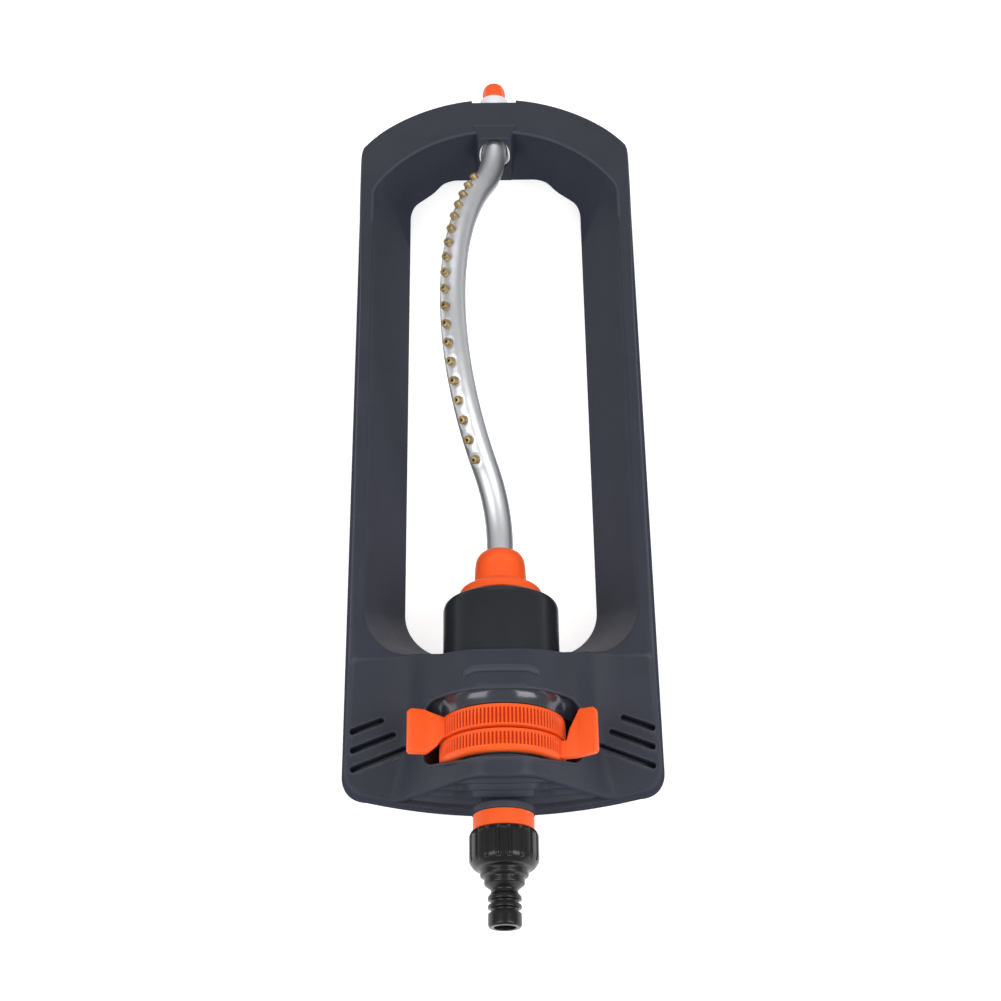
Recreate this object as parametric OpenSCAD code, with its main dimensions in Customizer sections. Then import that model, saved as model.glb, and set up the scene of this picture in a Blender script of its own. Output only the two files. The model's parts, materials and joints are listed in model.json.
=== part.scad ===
// Oscillating lawn sprinkler: moulded frame, water motor with gear train and
// range rings, bent spray tube with jets, hose adaptor.
// Y runs along the tube axis towards the far bearing, X is to the right, Z is up.

/* [Frame] */
// Length of the frame body
frame_l = 415; // [400:1:430]
// Width of the frame body at the base
frame_w = 161; // [158:1:166]
// Height of the rails and the far arch
rail_z = 45; // [43:0.5:47]
// Wall thickness of the moulding
wall = 2.6; // [2:0.2:3]
// Height of the deck at its rear edge
deck_z = 68; // [67:0.5:71]
// Radius of the far arch, outside
arch_r = 104; // [98:1:108]
// Depth of the far arch, outside to inside
arch_t = 27; // [21:1:29]

/* [Tube] */
// Height of the tube and motor axis above the ground
axis_z = 36; // [36:0.5:38]
// Outside diameter of the spray tube
tube_d = 13.6; // [13:0.1:14]
// Wall thickness of the spray tube
tube_wall = 1.2; // [1:0.1:1.4]
// Rise of the bow
bow_rise = 41.2; // [36:0.2:46]
// Half of the length between the straight ends
bow_half = 129; // [126:1:130]
// Radius of the bend at each end of the bow
bend_r = 67; // [60:1:80]
// Lean of the bow to the left as it stands
lean = 34; // [0:1:45]
// Number of jets
jet_count = 19; // [9:1:21]
// Distance between jets along the bow
jet_pitch = 10.1; // [9:0.1:10.5]

/* [Water motor] */
// Outside diameter of the motor barrel
barrel_d = 57.5; // [57:0.1:58]
// Outside diameter of the range rings
ring_d = 61; // [60.5:0.1:61.5]
// Width of one range ring
ring_w = 10.8; // [10:0.1:10.9]
// Resting angle of each range tab from upright
tab_angle = 68; // [60:1:70]
// Gear module
gear_m = 0.75; // [0.7:0.01:0.76]
// Teeth of each pinion
pinion_teeth = 8; // [8:1:8]
// Teeth of each wheel
wheel_teeth = 24; // [24:1:24]

/* [Hose end] */
// Diameter of the threaded adaptor's grip
adaptor_d = 33; // [32:0.5:35]
// Diameter of the quick plug
plug_d = 15.8; // [15.5:0.1:16]

/* [Hidden] */
$fn = 64;

half_w = frame_w / 2;
y_front = 1 - frame_l / 2;
y_arch = y_front + frame_l - arch_r;    // centre of the far arch
y_deck = -146;                          // rear edge of the deck, at its crown
y_wall = -122;                          // foot of the deck's rear wall, which leans forward as it rises
wall_lean = (y_wall - y_deck) / deck_z;
y_join = -150;                          // where the rails run into the deck
arch_in_r = arch_r - arch_t;
front_bow_r = 300;
corner_r = 12;
fillet_r = 15;                          // rounding where the sides meet the far arch
fillet_x = half_w - fillet_r;
fillet_h = sqrt(pow(arch_r - fillet_r, 2) - pow(fillet_x, 2));
foot_h = 3;                             // upright rim at the base
rail_out = 75.5;                        // outside of the rail at the crest
crest_x = 73;
crest_h = 4;
ridge_x = 69;                           // inner edge of the rail's top
open_x = 49.8;                           // half width of the opening at the base
slope_l = norm([ridge_x - open_x, rail_z - foot_h]);
slope_k = slope_l / (rail_z - foot_h);
deck_drop = 5.5;                        // fall of the deck crown from rear to front
wing_front_z = 8;
win_x = 38;
win_y0 = -196.8;
win_y1 = -164;
win_r = 6;
win_flat = 18;                          // half of the straight part of the window's front edge
win_sweep = 3.3;                        // the front edge's ends lie this far back
slot_w = 2.8;
slot_slant = 16;
slots = [[58.5, 73.5, -170.7], [52.5, 73.6, -178.6], [47, 73.8, -186.6]]; // inner end, outer end, y

bush_r = 8.8;
bush_y0 = 171.5;
bush_y1 = 211;
boss_r = 11.6;
flat_y = 205.2;

tube_r = tube_d / 2;
bore_r = tube_r - tube_wall;
bow_a = 2 * atan(bow_rise / bow_half);
bow_r = bow_half / sin(bow_a) - bend_r;
bow_y = 54;                             // middle of the bow
swell = 0.02;                           // the end bends stand this much proud
lap = 0.1;                              // each length of tube runs this far into the bend beside it
tube_y0 = -99;
tube_y1 = 209;
jet_first = 91.5;                       // arc length from the middle to the far jet
jet_r = 2.15;
jet_tip = 9.2;

barrel_r = barrel_d / 2;
barrel_y1 = -109.5;
recess_y = -113.5;                      // floor of the rear cover's recess
recess_r = 25.9;
core_r = 26.5;                          // barrel under the deck
seat_r = 25.9;                          // barrel under the range rings
barrel_step = -149.5;
seat_y1 = -170.2;
seat_y0 = -194.3;
cap_y0 = -202.9;                         // front of the motor's cap
room_r = 23.4;                          // inside of the barrel
barrel_gap = 0.35;
ring_gap = 0.3;
rear_ring_y = -182;
front_ring_y = -194;
tab_l = 49;
tab_t = 4.2;

gear_w = 3.2;
gear_gap = 0.6;
gear_y = -170.4;                        // front face of the first gear mesh
gear_step = gear_w + gear_gap;
gear_c = gear_m * (pinion_teeth + wheel_teeth) / 2 + 0.05;
shaft_r = 1.5;
run = 0.05;                             // radial play of a running fit
spindle_r = 7;
clip_y = -119.3;
screw_ring = 24.6;                      // radius of the rear cover's screw circle
collar_y0 = -106.6;

spigot_y = -217;                        // front of the frame's inlet boss
boss_out_r = 15.4;                      // plate round the inlet
plate_y0 = -213;                        // back of that plate's recess
neck_r = 10.4;
plug_tip = -269.4;
end_tip = 223;
y_mid = (plug_tip + end_tip) / 2;

module along_y(y0, y1, r, r2 = -1) {
    translate([0, y0, axis_z])
        rotate([-90, 0, 0])
            cylinder(h = y1 - y0, r1 = r, r2 = r2 < 0 ? r : r2);
}

// A turned shape about the tube axis; points are [radius, y].
module turned(points) {
    translate([0, 0, axis_z])
        rotate([-90, 0, 0])
            rotate_extrude()
                polygon(points);
}

// A seal ring about the tube axis.
module o_ring(y, r, section) {
    translate([0, y, axis_z])
        rotate([-90, 0, 0])
            rotate_extrude()
                translate([r, 0])
                    circle(r = section, $fn = 20);
}

module place() {
    translate([0, -y_mid, 0]) children();
}

// Plan of the frame, drawn in by t.
module plan(t) {
    intersection() {
        translate([0, y_front + front_bow_r]) circle(r = front_bow_r - t, $fn = 180);
        union() {
            translate([0, y_arch]) circle(r = arch_r - t, $fn = 120);
            translate([-half_w, y_front - 10]) square([2 * half_w, y_arch - y_front + 10]);
        }
        union() {
            translate([-half_w + t, -200 + corner_r]) square([2 * (half_w - t), frame_l + 20]);
            translate([-half_w + corner_r, y_front - 10]) square([2 * (half_w - corner_r), 60]);
            for (side = [-1, 1])
                translate([side * (half_w - corner_r), -200 + corner_r]) circle(r = corner_r - t);
        }
        union() {
            translate([-half_w, y_front - 10]) square([2 * half_w, y_arch + fillet_h - y_front + 10]);
            for (side = [-1, 1])
                translate([side * fillet_x, y_arch + fillet_h]) circle(r = fillet_r - t);
            translate([0, y_arch])
                polygon([[0, 0], [2 * fillet_x, 2 * fillet_h], [2 * fillet_x, 2 * arch_r],
                    [-2 * fillet_x, 2 * arch_r], [-2 * fillet_x, 2 * fillet_h]]);
        }
    }
}

// Section across the frame, with its sides drawn in by t.
module across(t) {
    side = [[half_w - t, -1], [half_w - t, foot_h], [rail_out - t, rail_z - crest_h - t / 2],
        [crest_x - t / 2, rail_z - t]];
    polygon(concat(side, [for (i = [3:-1:0]) [-side[i][0], side[i][1]]]));
}

// The middle opening, grown by t.
module opening(t) {
    low_x = open_x + t * slope_k;
    high_x = ridge_x + t * slope_k;
    over = (high_x - low_x) / (rail_z - foot_h);
    intersection() {
        rotate([90, 0, 0])
            linear_extrude(2 * frame_l, center = true)
                polygon([[-low_x, -2], [low_x, -2], [low_x, foot_h], [high_x + 10 * over, rail_z + 10],
                    [-high_x - 10 * over, rail_z + 10], [-low_x, foot_h]]);
        translate([0, 0, -2])
            linear_extrude(rail_z + 20) {
                translate([0, y_arch]) circle(r = arch_in_r + t, $fn = 96);
                translate([-half_w, y_join]) square([2 * half_w, y_arch - y_join]);
            }
        past_wall(t);
    }
}

// Everything beyond the deck's rear wall, grown by t.
module past_wall(t) {
    y0 = y_wall - t * norm([1, wall_lean]);
    rotate([90, 0, 90])
        linear_extrude(2 * frame_w, center = true)
            polygon([[y0 + 2 * wall_lean, -2], [frame_l, -2], [frame_l, deck_z + 10],
                [y0 - (deck_z + 10) * wall_lean, deck_z + 10]]);
}

// Rails and arch as a filled body, drawn in by t.
module rails(t) {
    difference() {
        intersection() {
            translate([0, 0, -1]) linear_extrude(rail_z + 1 - t) plan(t);
            rotate([90, 0, 0]) linear_extrude(2 * frame_l, center = true) across(t);
            translate([-half_w, y_join, -1]) cube([2 * half_w, frame_l, rail_z + 2]);
        }
        opening(t);
    }
}

// Hump over the motor as a section across the frame.
module hump_section(t) {
    k = 1 - t / 36;
    side = [[57 - 1.2 * t, -1], [37 * k, axis_z], [33 * k, axis_z + 10 * k], [24 * k, axis_z + 24.5 * k],
        [14 * k, axis_z + 30.5 * k], [0, axis_z + (deck_z - axis_z) * k]];
    polygon(concat(side, [for (i = [4:-1:0]) [-side[i][0], side[i][1]]]));
}

// Deck with its hump and wings as a filled body, drawn in by t.
module deck(t) {
    difference() {
        intersection() {
            translate([0, 0, -1]) linear_extrude(deck_z + 2) plan(t);
            rotate([90, 0, 0])
                linear_extrude(2 * frame_l, center = true)
                    polygon([[-half_w + t, -1], [half_w - t, -1], [half_w - t, foot_h],
                        [rail_out - t, rail_z - crest_h - t / 2], [40, deck_z + 1], [-40, deck_z + 1],
                        [-rail_out + t, rail_z - crest_h - t / 2], [-half_w + t, foot_h]]);
            union() {
                rotate([90, 0, 0]) linear_extrude(2 * frame_l, center = true) hump_section(t);
                rotate([90, 0, 90])
                    linear_extrude(2 * half_w, center = true)
                        polygon([[y_front - 5, -1], [y_front - 5, wing_front_z - 1 - t],
                            [-200, wing_front_z - t], [y_join - 2, rail_z - t], [y_wall + 5, rail_z - t],
                            [y_wall + 5, -1]]);
            }
            rotate([90, 0, 90])
                linear_extrude(2 * half_w, center = true)
                    polygon([[y_front - 5, -1], [y_front - 5, deck_z - deck_drop - t],
                        [y_front, deck_z - deck_drop - t], [y_deck, deck_z - t], [y_wall + 5, deck_z - t],
                        [y_wall + 5, -1]]);
        }
        past_wall(t);
    }
}

// A rounded corner of the window about y, from angle a0 to a1.
function win_corner(y, a0, a1) = [for (i = [0:5]) let (a = a0 + (a1 - a0) * i / 5)
    [win_x - win_r + win_r * cos(a), y + win_r * sin(a)]];

module window() {
    side = concat([[win_flat, win_y0]], win_corner(win_y0 + win_sweep + win_r, -80, 0),
        win_corner(win_y1 - win_r, 0, 90));
    last = len(side) - 1;
    translate([0, 0, 12])
        linear_extrude(deck_z)
            polygon(concat(side, [for (i = [last:-1:0]) [-side[i][0], side[i][1]]]));
}

// One drain slot in a wing: from x0 to x1 along a slanted line that starts at y.
module drain_slot(x0, x1, y) {
    translate([x1, y, 4])
        rotate([0, 0, 180 - slot_slant])
            linear_extrude(rail_z) {
                translate([0, -slot_w / 2]) square([x1 - x0, slot_w]);
                for (x = [0, x1 - x0])
                    translate([x, 0]) circle(r = slot_w / 2, $fn = 24);
            }
}

clamp_x = 35.5;
clamp_y = -156;
clamp_z = 24;
screw_r = 1.6;

module base_frame() color("#42444c")
    difference() {
        union() {
            difference() {
                union() {
                    rails(0);
                    deck(0);
                }
                rails(wall);
                deck(wall);
                window();
            }
            far_boss();
            along_y(spigot_y, plate_y0 - 0.4, boss_out_r);
            along_y(plate_y0 - 0.5, plate_y0 + 1, boss_out_r, neck_r);
            along_y(plate_y0 + 0.9, y_front + wall, neck_r);
            for (side = [-1, 1])
                translate([side * clamp_x, clamp_y, clamp_z]) cylinder(h = 12, r = 4);
        }
        along_y(spigot_y - 1, plate_y0, 13.3);
        along_y(plate_y0 - 1, y_front + 9, 9.05);
        along_y(bush_y0 - 1, bush_y1, bush_r);
        translate([-12.7, flat_y, -2]) cube([25.4, 10, rail_z + 5]);
        along_y(y_join, y_wall + 2, barrel_r + barrel_gap);
        translate([-barrel_r - barrel_gap, y_join, -2])
            cube([2 * (barrel_r + barrel_gap), y_wall + 2 - y_join, axis_z + 2]);
        for (side = [0, 1])
            mirror([side, 0, 0]) {
                for (slot = slots)
                    drain_slot(slot[0], slot[1], slot[2]);
                translate([clamp_x, clamp_y, clamp_z - 1]) cylinder(h = 11, r = screw_r);
            }
        translate([-half_w - 5, y_front - 20, -5]) cube([2 * half_w + 10, frame_l + 40, 5]);
    }

// Bearing boss of the far arch, with its barrel through both walls.
module far_boss() {
    intersection() {
        union() {
            along_y(bush_y0, flat_y, boss_r);
            translate([-boss_r, bush_y0 + 3, 0]) cube([2 * boss_r, 10, axis_z]);
            translate([-boss_r, flat_y - 8, 0]) cube([2 * boss_r, 8, axis_z]);
        }
        translate([-boss_r, bush_y0, 0]) cube([2 * boss_r, 40, rail_z + 0.6]);
    }
}

module motor_clamp() color("#3a3c43")
    difference() {
        union() {
            along_y(clamp_y - 4, clamp_y + 4, core_r + 2.6);
            translate([-clamp_x - 4, clamp_y - 4, clamp_z - 2.6]) cube([2 * clamp_x + 8, 8, 2.6]);
        }
        along_y(clamp_y - 5, clamp_y + 5, core_r + run);
        translate([-60, clamp_y - 5, clamp_z]) cube([120, 10, 60]);
        for (side = [-1, 1])
            translate([side * clamp_x, clamp_y, clamp_z - 4]) cylinder(h = 6, r = screw_r + 0.2);
    }

module clamp_screws() color("silver")
    for (side = [-1, 1])
        translate([side * clamp_x, clamp_y, clamp_z - 2.6]) {
            cylinder(h = 11, r = screw_r - run);
            difference() {
                translate([0, 0, -2.2]) cylinder(h = 2.2, r = 3.1);
                translate([-0.4, -2, -2.3]) cube([0.8, 4, 1.2]);
                translate([-2, -0.4, -2.3]) cube([4, 0.8, 1.2]);
            }
        }

module motor_housing() color("#33363b")
    difference() {
        turned([[0, seat_y0], [seat_r, seat_y0], [seat_r, seat_y1], [28, seat_y1], [28, seat_y1 + 1.8],
            [core_r, seat_y1 + 1.8], [core_r, barrel_step], [barrel_r, barrel_step],
            [barrel_r, barrel_y1 - 2.6], [barrel_r - 0.5, barrel_y1 - 1], [26.7, barrel_y1], [0, barrel_y1]]);
        along_y(seat_y0 - 1, recess_y + 0.5, room_r);
        along_y(recess_y, barrel_y1 + 1, recess_r);
        for (a = [45:90:315])
            around(a, screw_ring) along_y(recess_y - 3.5, recess_y + 0.5, 0.9);
    }

// Moves a child from the tube axis to radius r at angle a round it.
module around(a, r) {
    translate([r * cos(a), 0, r * sin(a)]) children();
}

module motor_front_cap() color("#3a3c43")
    turned([[9.05, cap_y0], [21, cap_y0], [21, seat_y0 - 1], [24.3, seat_y0 - 1], [24.3, seat_y0],
        [room_r - 0.1, seat_y0], [room_r - 0.1, -193.8], [room_r - 1.6, -193.8], [room_r - 1.6, -192.2],
        [room_r - 0.1, -192.2], [room_r - 0.1, -191.2], [9.05, -191.2]]);

module front_cap_seal() color("#1c1c1e") o_ring(-193, room_r - 0.85, 0.7);

module motor_rear_cover() color("#3f4147")
    difference() {
        turned([[spindle_r + run, recess_y - 3.5], [12, recess_y - 3.5], [12, recess_y],
            [recess_r - 0.1, recess_y], [recess_r - 0.1, barrel_y1 - 0.9], [25, barrel_y1 - 0.2],
            [spindle_r + run, barrel_y1 - 0.2]]);
        for (a = [45:90:315])
            around(a, screw_ring) along_y(recess_y - 0.5, barrel_y1 + 0.5, 1);
    }

module rear_cover_screws() color("silver")
    for (a = [45:90:315])
        around(a, screw_ring) {
            along_y(recess_y - 3, barrel_y1 - 1.4, 0.85);
            along_y(barrel_y1 - 1.4, barrel_y1 + 0.1, 1.0);
        }

module rear_cover_seal() color("#1c1c1e")
    turned([[12.2, recess_y - 1.1], [22, recess_y - 1.1], [22, recess_y - 0.05], [12.2, recess_y - 0.05]]);

module inlet_spigot() color("#f26a30")
    turned([[5.5, -199.4], [8.2, -199.4], [8.95, -200.2], [8.95, -201.1], [7.6, -201.1], [7.6, -202.3],
        [8.95, -202.3], [8.95, plate_y0], [13.2, plate_y0], [13.2, spigot_y], [14.5, spigot_y], [14.5, -224.2],
        [13.6, -224.4], [12.6, -224.4], [12.6, -238.6], [9.6, -238.6], [9.6, -228], [5.5, -226]]);

module inlet_seal() color("#1c1c1e")
    turned([[7.7, -202.2], [8.9, -202.2], [8.9, -201.2], [7.7, -201.2]]);

// Cup-shaped strainer with slots round its side.
module inlet_filter() color("#d8dade")
    difference() {
        turned([[7.6, -238.6], [9.5, -238.6], [9.5, -237.4], [8.6, -237.4], [7.4, -229], [0, -229], [0, -229.8],
            [6.6, -229.8], [7.6, -237.6]]);
        for (a = [0:30:330])
            translate([0, 0, axis_z])
                rotate([0, a, 0])
                    translate([-0.45, -236, 5]) cube([0.9, 5, 6]);
    }

module hose_adaptor() color("#1f1f20")
    difference() {
        turned([[5.2, plug_tip], [plug_d / 2 - 0.6, plug_tip], [plug_d / 2, plug_tip + 0.8],
            [plug_d / 2, plug_tip + 6.4], [plug_d / 2 - 1.3, plug_tip + 6.6], [plug_d / 2 - 1.3, plug_tip + 8.4],
            [plug_d / 2, plug_tip + 8.6], [plug_d / 2, plug_tip + 10.4], [plug_d / 2 - 1.3, plug_tip + 10.6],
            [plug_d / 2 - 1.3, plug_tip + 12.2], [plug_d / 2, plug_tip + 12.4], [plug_d / 2, plug_tip + 14.2],
            [6.4, plug_tip + 16], [6.4, -251.5], [8.6, -250], [9.5, -249.5], [9.5, -246.3], [11.4, -245.9],
            [11.4, -243], [14.4, -242.4], [adaptor_d / 2 - 0.6, -239.6], [adaptor_d / 2, -238.4],
            [adaptor_d / 2, -226.6], [adaptor_d / 2 - 1, -224.9], [12.75, -224.9], [12.75, -240.9],
            [5.2, -240.9]]);
        for (a = [0:20:340])
            translate([0, 0, axis_z])
                rotate([0, a, 0])
                    translate([0, -236, adaptor_d / 2 + 0.5])
                        rotate([-90, 0, 0]) cylinder(h = 12, r = 1.0, $fn = 24);
    }

module adaptor_washer() color("#1c1c1e")
    turned([[7.8, -240.8], [12.5, -240.8], [12.5, -238.7], [7.8, -238.7]]);

// Toothed range ring with its finger tab; side is -1 for the left tab.
module range_ring(y, side, reach) color("#f2652c")
    difference() {
        union() {
            turned([[seat_r + ring_gap, y], [ring_d / 2 - 0.9, y], [ring_d / 2, y + 0.9],
                [ring_d / 2, y + ring_w - 0.9], [ring_d / 2 - 0.9, y + ring_w], [seat_r + ring_gap, y + ring_w]]);
            translate([0, 0, axis_z])
                rotate([0, side * (tab_angle - 90), 0])
                    mirror([side < 0 ? 1 : 0, 0, 0])
                        translate([0, 0, -tab_t / 2])
                            linear_extrude(tab_t)
                                polygon(reach);
        }
        along_y(y - 1, y + ring_w + 1, seat_r + ring_gap);
        ring_ribs(y);
    }

// Fine finger grooves round the upper half of a ring.
module ring_ribs(y) {
    groove_r = ring_d / 2 + 0.15;
    for (a = [-48:6:48])
        translate([0, y + 1.4, axis_z])
            rotate([0, a, 0])
                translate([0, 0, groove_r])
                    rotate([-90, 0, 0]) cylinder(h = ring_w - 3, r = 0.5, $fn = 16);
}

module rear_range_ring()
    range_ring(rear_ring_y, -1, [[28.4, -172.6], [28.4, -181.4], [31.6, -182.8], [33.6, -186.2], [38, -190.2],
        [tab_l - 1.5, -191.5], [tab_l, -189.5], [tab_l, -171], [tab_l - 2, -169.2], [40, -168.7], [33, -171]]);

module front_range_ring()
    range_ring(front_ring_y, 1, [[28.4, -184.4], [28.4, -193], [34, -192.9], [tab_l - 1, -192.2],
        [tab_l, -190.2], [tab_l, -171.3], [tab_l - 1.5, -169.7], [39.5, -169.3], [34.5, -178.6], [33, -183.2],
        [33, -184.4]]);

module jet_plate() color("#d5d7da")
    difference() {
        along_y(-186.4, -184.4, room_r - 0.1);
        along_y(-187, -184, shaft_r + run);
        for (side = [-1, 1])
            translate([side * 11, 0, 0]) along_y(-187, -184, 1.6);
    }

// Rocking shutter that sends the water to one jet or the other.
module diverter_plate() color("#f2efe6")
    difference() {
        union() {
            along_y(-189.2, -187.2, 8);
            translate([-16, -189.2, axis_z - 2.2]) cube([32, 2, 4.4]);
            along_y(-191, -189.2, 4);
        }
        along_y(-192, -187, shaft_r + 0.5);
        for (side = [-1, 1])
            translate([side * 12.6, 0, 0]) along_y(-190, -187, 1.1);
    }

// Hairpin that snaps the diverter over: two legs and a bend.
module toggle_spring() color("#b8bcc2") {
    leg = 7;
    for (x = [-3, 3])
        translate([x, -190.2, axis_z + 9.6]) cylinder(h = leg, r = 0.45, $fn = 16);
    translate([0, -190.2, axis_z + 9.6 + leg])
        rotate([90, 0, 0])
            rotate_extrude(angle = 180)
                translate([3, 0]) circle(r = 0.45, $fn = 16);
}

module turbine_rotor() color("#f2efe6")
    difference() {
        union() {
            along_y(-182.6, -175.4, 4.2);
            difference() {
                along_y(-182.6, -175.4, 15);
                along_y(-183, -175, 13.8);
            }
            for (a = [0:30:330])
                translate([0, 0, axis_z])
                    rotate([0, a, 0])
                        translate([-0.5, -182.6, 3.6]) cube([1, 7.2, 10.6]);
        }
        along_y(-184, -174, shaft_r);
    }

// Spur gear about the origin, along +Z, with play taken from each flank.
module gear(teeth, thick, m, play) {
    pitch_r = m * teeth / 2;
    base_r = pitch_r * cos(20);
    tip_r = pitch_r + 0.85 * m;
    root_r = pitch_r - 1.3 * m;
    start_r = max(base_r, root_r + 0.05);
    roll = function (r) sqrt(max(0, pow(r / base_r, 2) - 1)) * 180 / PI;
    swing = function (r) roll(r) - atan(roll(r) * PI / 180);
    half = 90 / teeth - play / pitch_r * 180 / PI + swing(pitch_r);
    flank = [for (i = [0:4]) let (r = start_r + (tip_r - start_r) * i / 4) [r, half - swing(r)]];
    tooth = concat([[root_r, half]], flank, [for (i = [4:-1:0]) [flank[i][0], -flank[i][1]]], [[root_r, -half]]);
    linear_extrude(thick)
        union() {
            circle(r = root_r + 0.02, $fn = 48);
            for (k = [0:teeth - 1])
                polygon([for (p = concat([[0, 0]], tooth))
                    [p[0] * cos(k * 360 / teeth - p[1]), p[0] * sin(k * 360 / teeth - p[1])]]);
        }
}

// A gear on an axis that is x right of the tube axis, front face at y, turned by a.
module gear_at(x, y, a, teeth, thick) {
    translate([x, y, axis_z])
        rotate([-90, 0, 0])
            rotate([0, 0, a]) gear(teeth, thick, gear_m, 0.09);
}

// A wheel and the pinion behind it, running on a shaft.
module compound_gear(x, stage) {
    y = gear_y + stage * gear_step;
    difference() {
        union() {
            gear_at(x, y, 180 / wheel_teeth, wheel_teeth, gear_w);
            gear_at(x, y + gear_w - 0.1, 0, pinion_teeth, gear_step + 0.1);
        }
        translate([x, 0, 0]) along_y(y - 1, y + 2 * gear_step + 1, shaft_r + run);
    }
}

module turbine_shaft() color("#c3c6ca") {
    along_y(-191.5, gear_y + 3 * gear_step + gear_w - 1, shaft_r);
    difference() {
        gear_at(0, gear_y, 0, pinion_teeth, gear_w);
        along_y(gear_y - 1, gear_y + gear_w + 1, shaft_r - 0.2);
    }
}

module first_gear() color("#f2efe6") compound_gear(gear_c, 0);
module second_gear() color("#e6c04a") compound_gear(0, 1);
module third_gear() color("#f2efe6") compound_gear(gear_c, 2);

module output_gear() color("#e6c04a")
    difference() {
        gear_at(0, gear_y + 3 * gear_step, 180 / wheel_teeth, wheel_teeth, gear_w);
        along_y(gear_y + 3 * gear_step - 1, gear_y + 3 * gear_step + gear_w - 0.8, shaft_r + run);
    }

module gear_plate_front() color("#9a9ea4")
    difference() {
        along_y(-173.4, -171.2, room_r - 0.1);
        along_y(-174, -171, shaft_r + run);
        translate([gear_c, 0, 0]) along_y(-174, -171, shaft_r);
        for (a = [90:60:270])
            around(a, 20.4) along_y(-174, -171, 1.5);
    }

plate_y = gear_y + 4 * gear_step + 0.3;
post_angles = [110, 180, 250];

module gear_plate_rear() color("#9a9ea4")
    difference() {
        along_y(plate_y, plate_y + 2.2, room_r - 0.1);
        along_y(plate_y - 1, plate_y + 3, spindle_r + 0.3);
        translate([gear_c, 0, 0]) along_y(plate_y - 1, plate_y + 3, shaft_r);
    }

module plate_spacers() color("#9a9ea4")
    for (a = post_angles)
        around(a, 18.4) along_y(-171.2, plate_y, 2.2);

module gear_pin() color("#c3c6ca")
    translate([gear_c, 0, 0]) along_y(-173.4, plate_y + 2.2, shaft_r);

module output_spindle() color("#d5d7da")
    turned([[0, gear_y + 3 * gear_step + gear_w], [5.2, gear_y + 3 * gear_step + gear_w],
        [5.2, plate_y - 0.2], [spindle_r, plate_y - 0.2], [spindle_r, clip_y - 0.1], [spindle_r - 1, clip_y - 0.1],
        [spindle_r - 1, clip_y + 1.1], [spindle_r, clip_y + 1.1], [spindle_r, tube_y0 - 0.2],
        [0, tube_y0 - 0.2]]);

module spindle_clip() color("#b8bcc2")
    difference() {
        along_y(clip_y, clip_y + 1, 9.2);
        along_y(clip_y - 1, clip_y + 2, spindle_r - 0.95);
        translate([-1.5, clip_y - 1, axis_z]) cube([3, 3, 12]);
    }

module spindle_seal() color("#1c1c1e") o_ring((barrel_y1 + collar_y0) / 2, spindle_r + 1.2, 1.1);

module tube_collar() color("#e8602a")
    difference() {
        turned([[spindle_r, collar_y0], [21, collar_y0], [21, collar_y0 + 2], [20.4, collar_y0 + 3.2],
            [14, collar_y0 + 3.2], [13, collar_y0 + 4.2], [12.6, -86], [12.1, -83.2], [10.6, -81.2], [8.6, -80.2],
            [tube_r + 0.05, -80], [tube_r + 0.05, tube_y0 - 0.1], [spindle_r, tube_y0 - 0.1]]);
        for (a = [0, 180])
            translate([0, -93, axis_z])
                rotate([0, a, 0])
                    translate([0, 0, 17.8])
                        rotate([-90, 0, 0]) cylinder(h = 11, r1 = 5.6, r2 = 5.2, center = true, $fn = 32);
    }

// Straight and bent lengths of a pipe along the tube's line.
module tube_line(r, hole) {
    y0 = bow_y - bow_half;
    y1 = bow_y + bow_half;
    arc_a = bow_a + lap / bow_r * 180 / PI;
    pipe(tube_y0, y0 + lap, r, hole);
    pipe(y1 - lap, tube_y1, r, hole);
    for (end = [0, 1])
        translate([0, bow_y, 0])
            mirror([0, end, 0])
                translate([0, -bow_half, bend_r])
                    rotate([0, 90, 0])
                        rotate_extrude(angle = bow_a, $fn = 120)
                            translate([bend_r, 0]) ring(r + swell, hole - swell);
    translate([0, bow_y, bow_rise - bow_r])
        rotate([0, -90, 0])
            rotate([0, 0, -arc_a])
                rotate_extrude(angle = 2 * arc_a, $fn = 160)
                    translate([bow_r, 0]) ring(r, hole);
}

module ring(r, hole) {
    difference() {
        circle(r = r, $fn = 48);
        circle(r = hole, $fn = 48);
    }
}

module pipe(y0, y1, r, hole) {
    translate([0, y0, 0])
        rotate([-90, 0, 0])
            linear_extrude(y1 - y0) ring(r, hole);
}

module leaning() {
    translate([0, 0, axis_z]) rotate([0, -lean, 0]) children();
}

// Angle along the main arc of jet i, from the middle towards the far end.
function jet_angle(i) = (jet_first - i * jet_pitch) / bow_r * 180 / PI;

module at_jets() {
    for (i = [0:jet_count - 1])
        translate([0, bow_y, bow_rise - bow_r])
            rotate([-jet_angle(i), 0, 0]) children();
}

module spray_tube() color("#c9cbcf")
    leaning()
        difference() {
            tube_line(tube_r, bore_r);
            at_jets() translate([0, 0, bow_r + bore_r - 1]) cylinder(h = 4, r = 1.55, $fn = 20);
        }

module jets() color("#a8865a")
    leaning()
        at_jets()
            translate([0, 0, bow_r]) {
                difference() {
                    union() {
                        translate([0, 0, tube_r + 0.03]) cylinder(h = jet_tip - tube_r - 0.03, r = jet_r, $fn = 28);
                        translate([0, 0, bore_r - 0.8]) cylinder(h = 3, r = 1.5, $fn = 20);
                    }
                    translate([0, 0, bore_r - 1]) cylinder(h = 6, r = 0.55, $fn = 16);
                }
            }

module far_bush() color("#eceef0")
    turned([[tube_r + run, bow_y + bow_half + 0.2], [tube_r + run, bush_y1], [bush_r - 0.8, bush_y1],
        [bush_r, bush_y1 - 0.8], [bush_r, bush_y0], [tube_r + 1.15, bush_y0]]);

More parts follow.
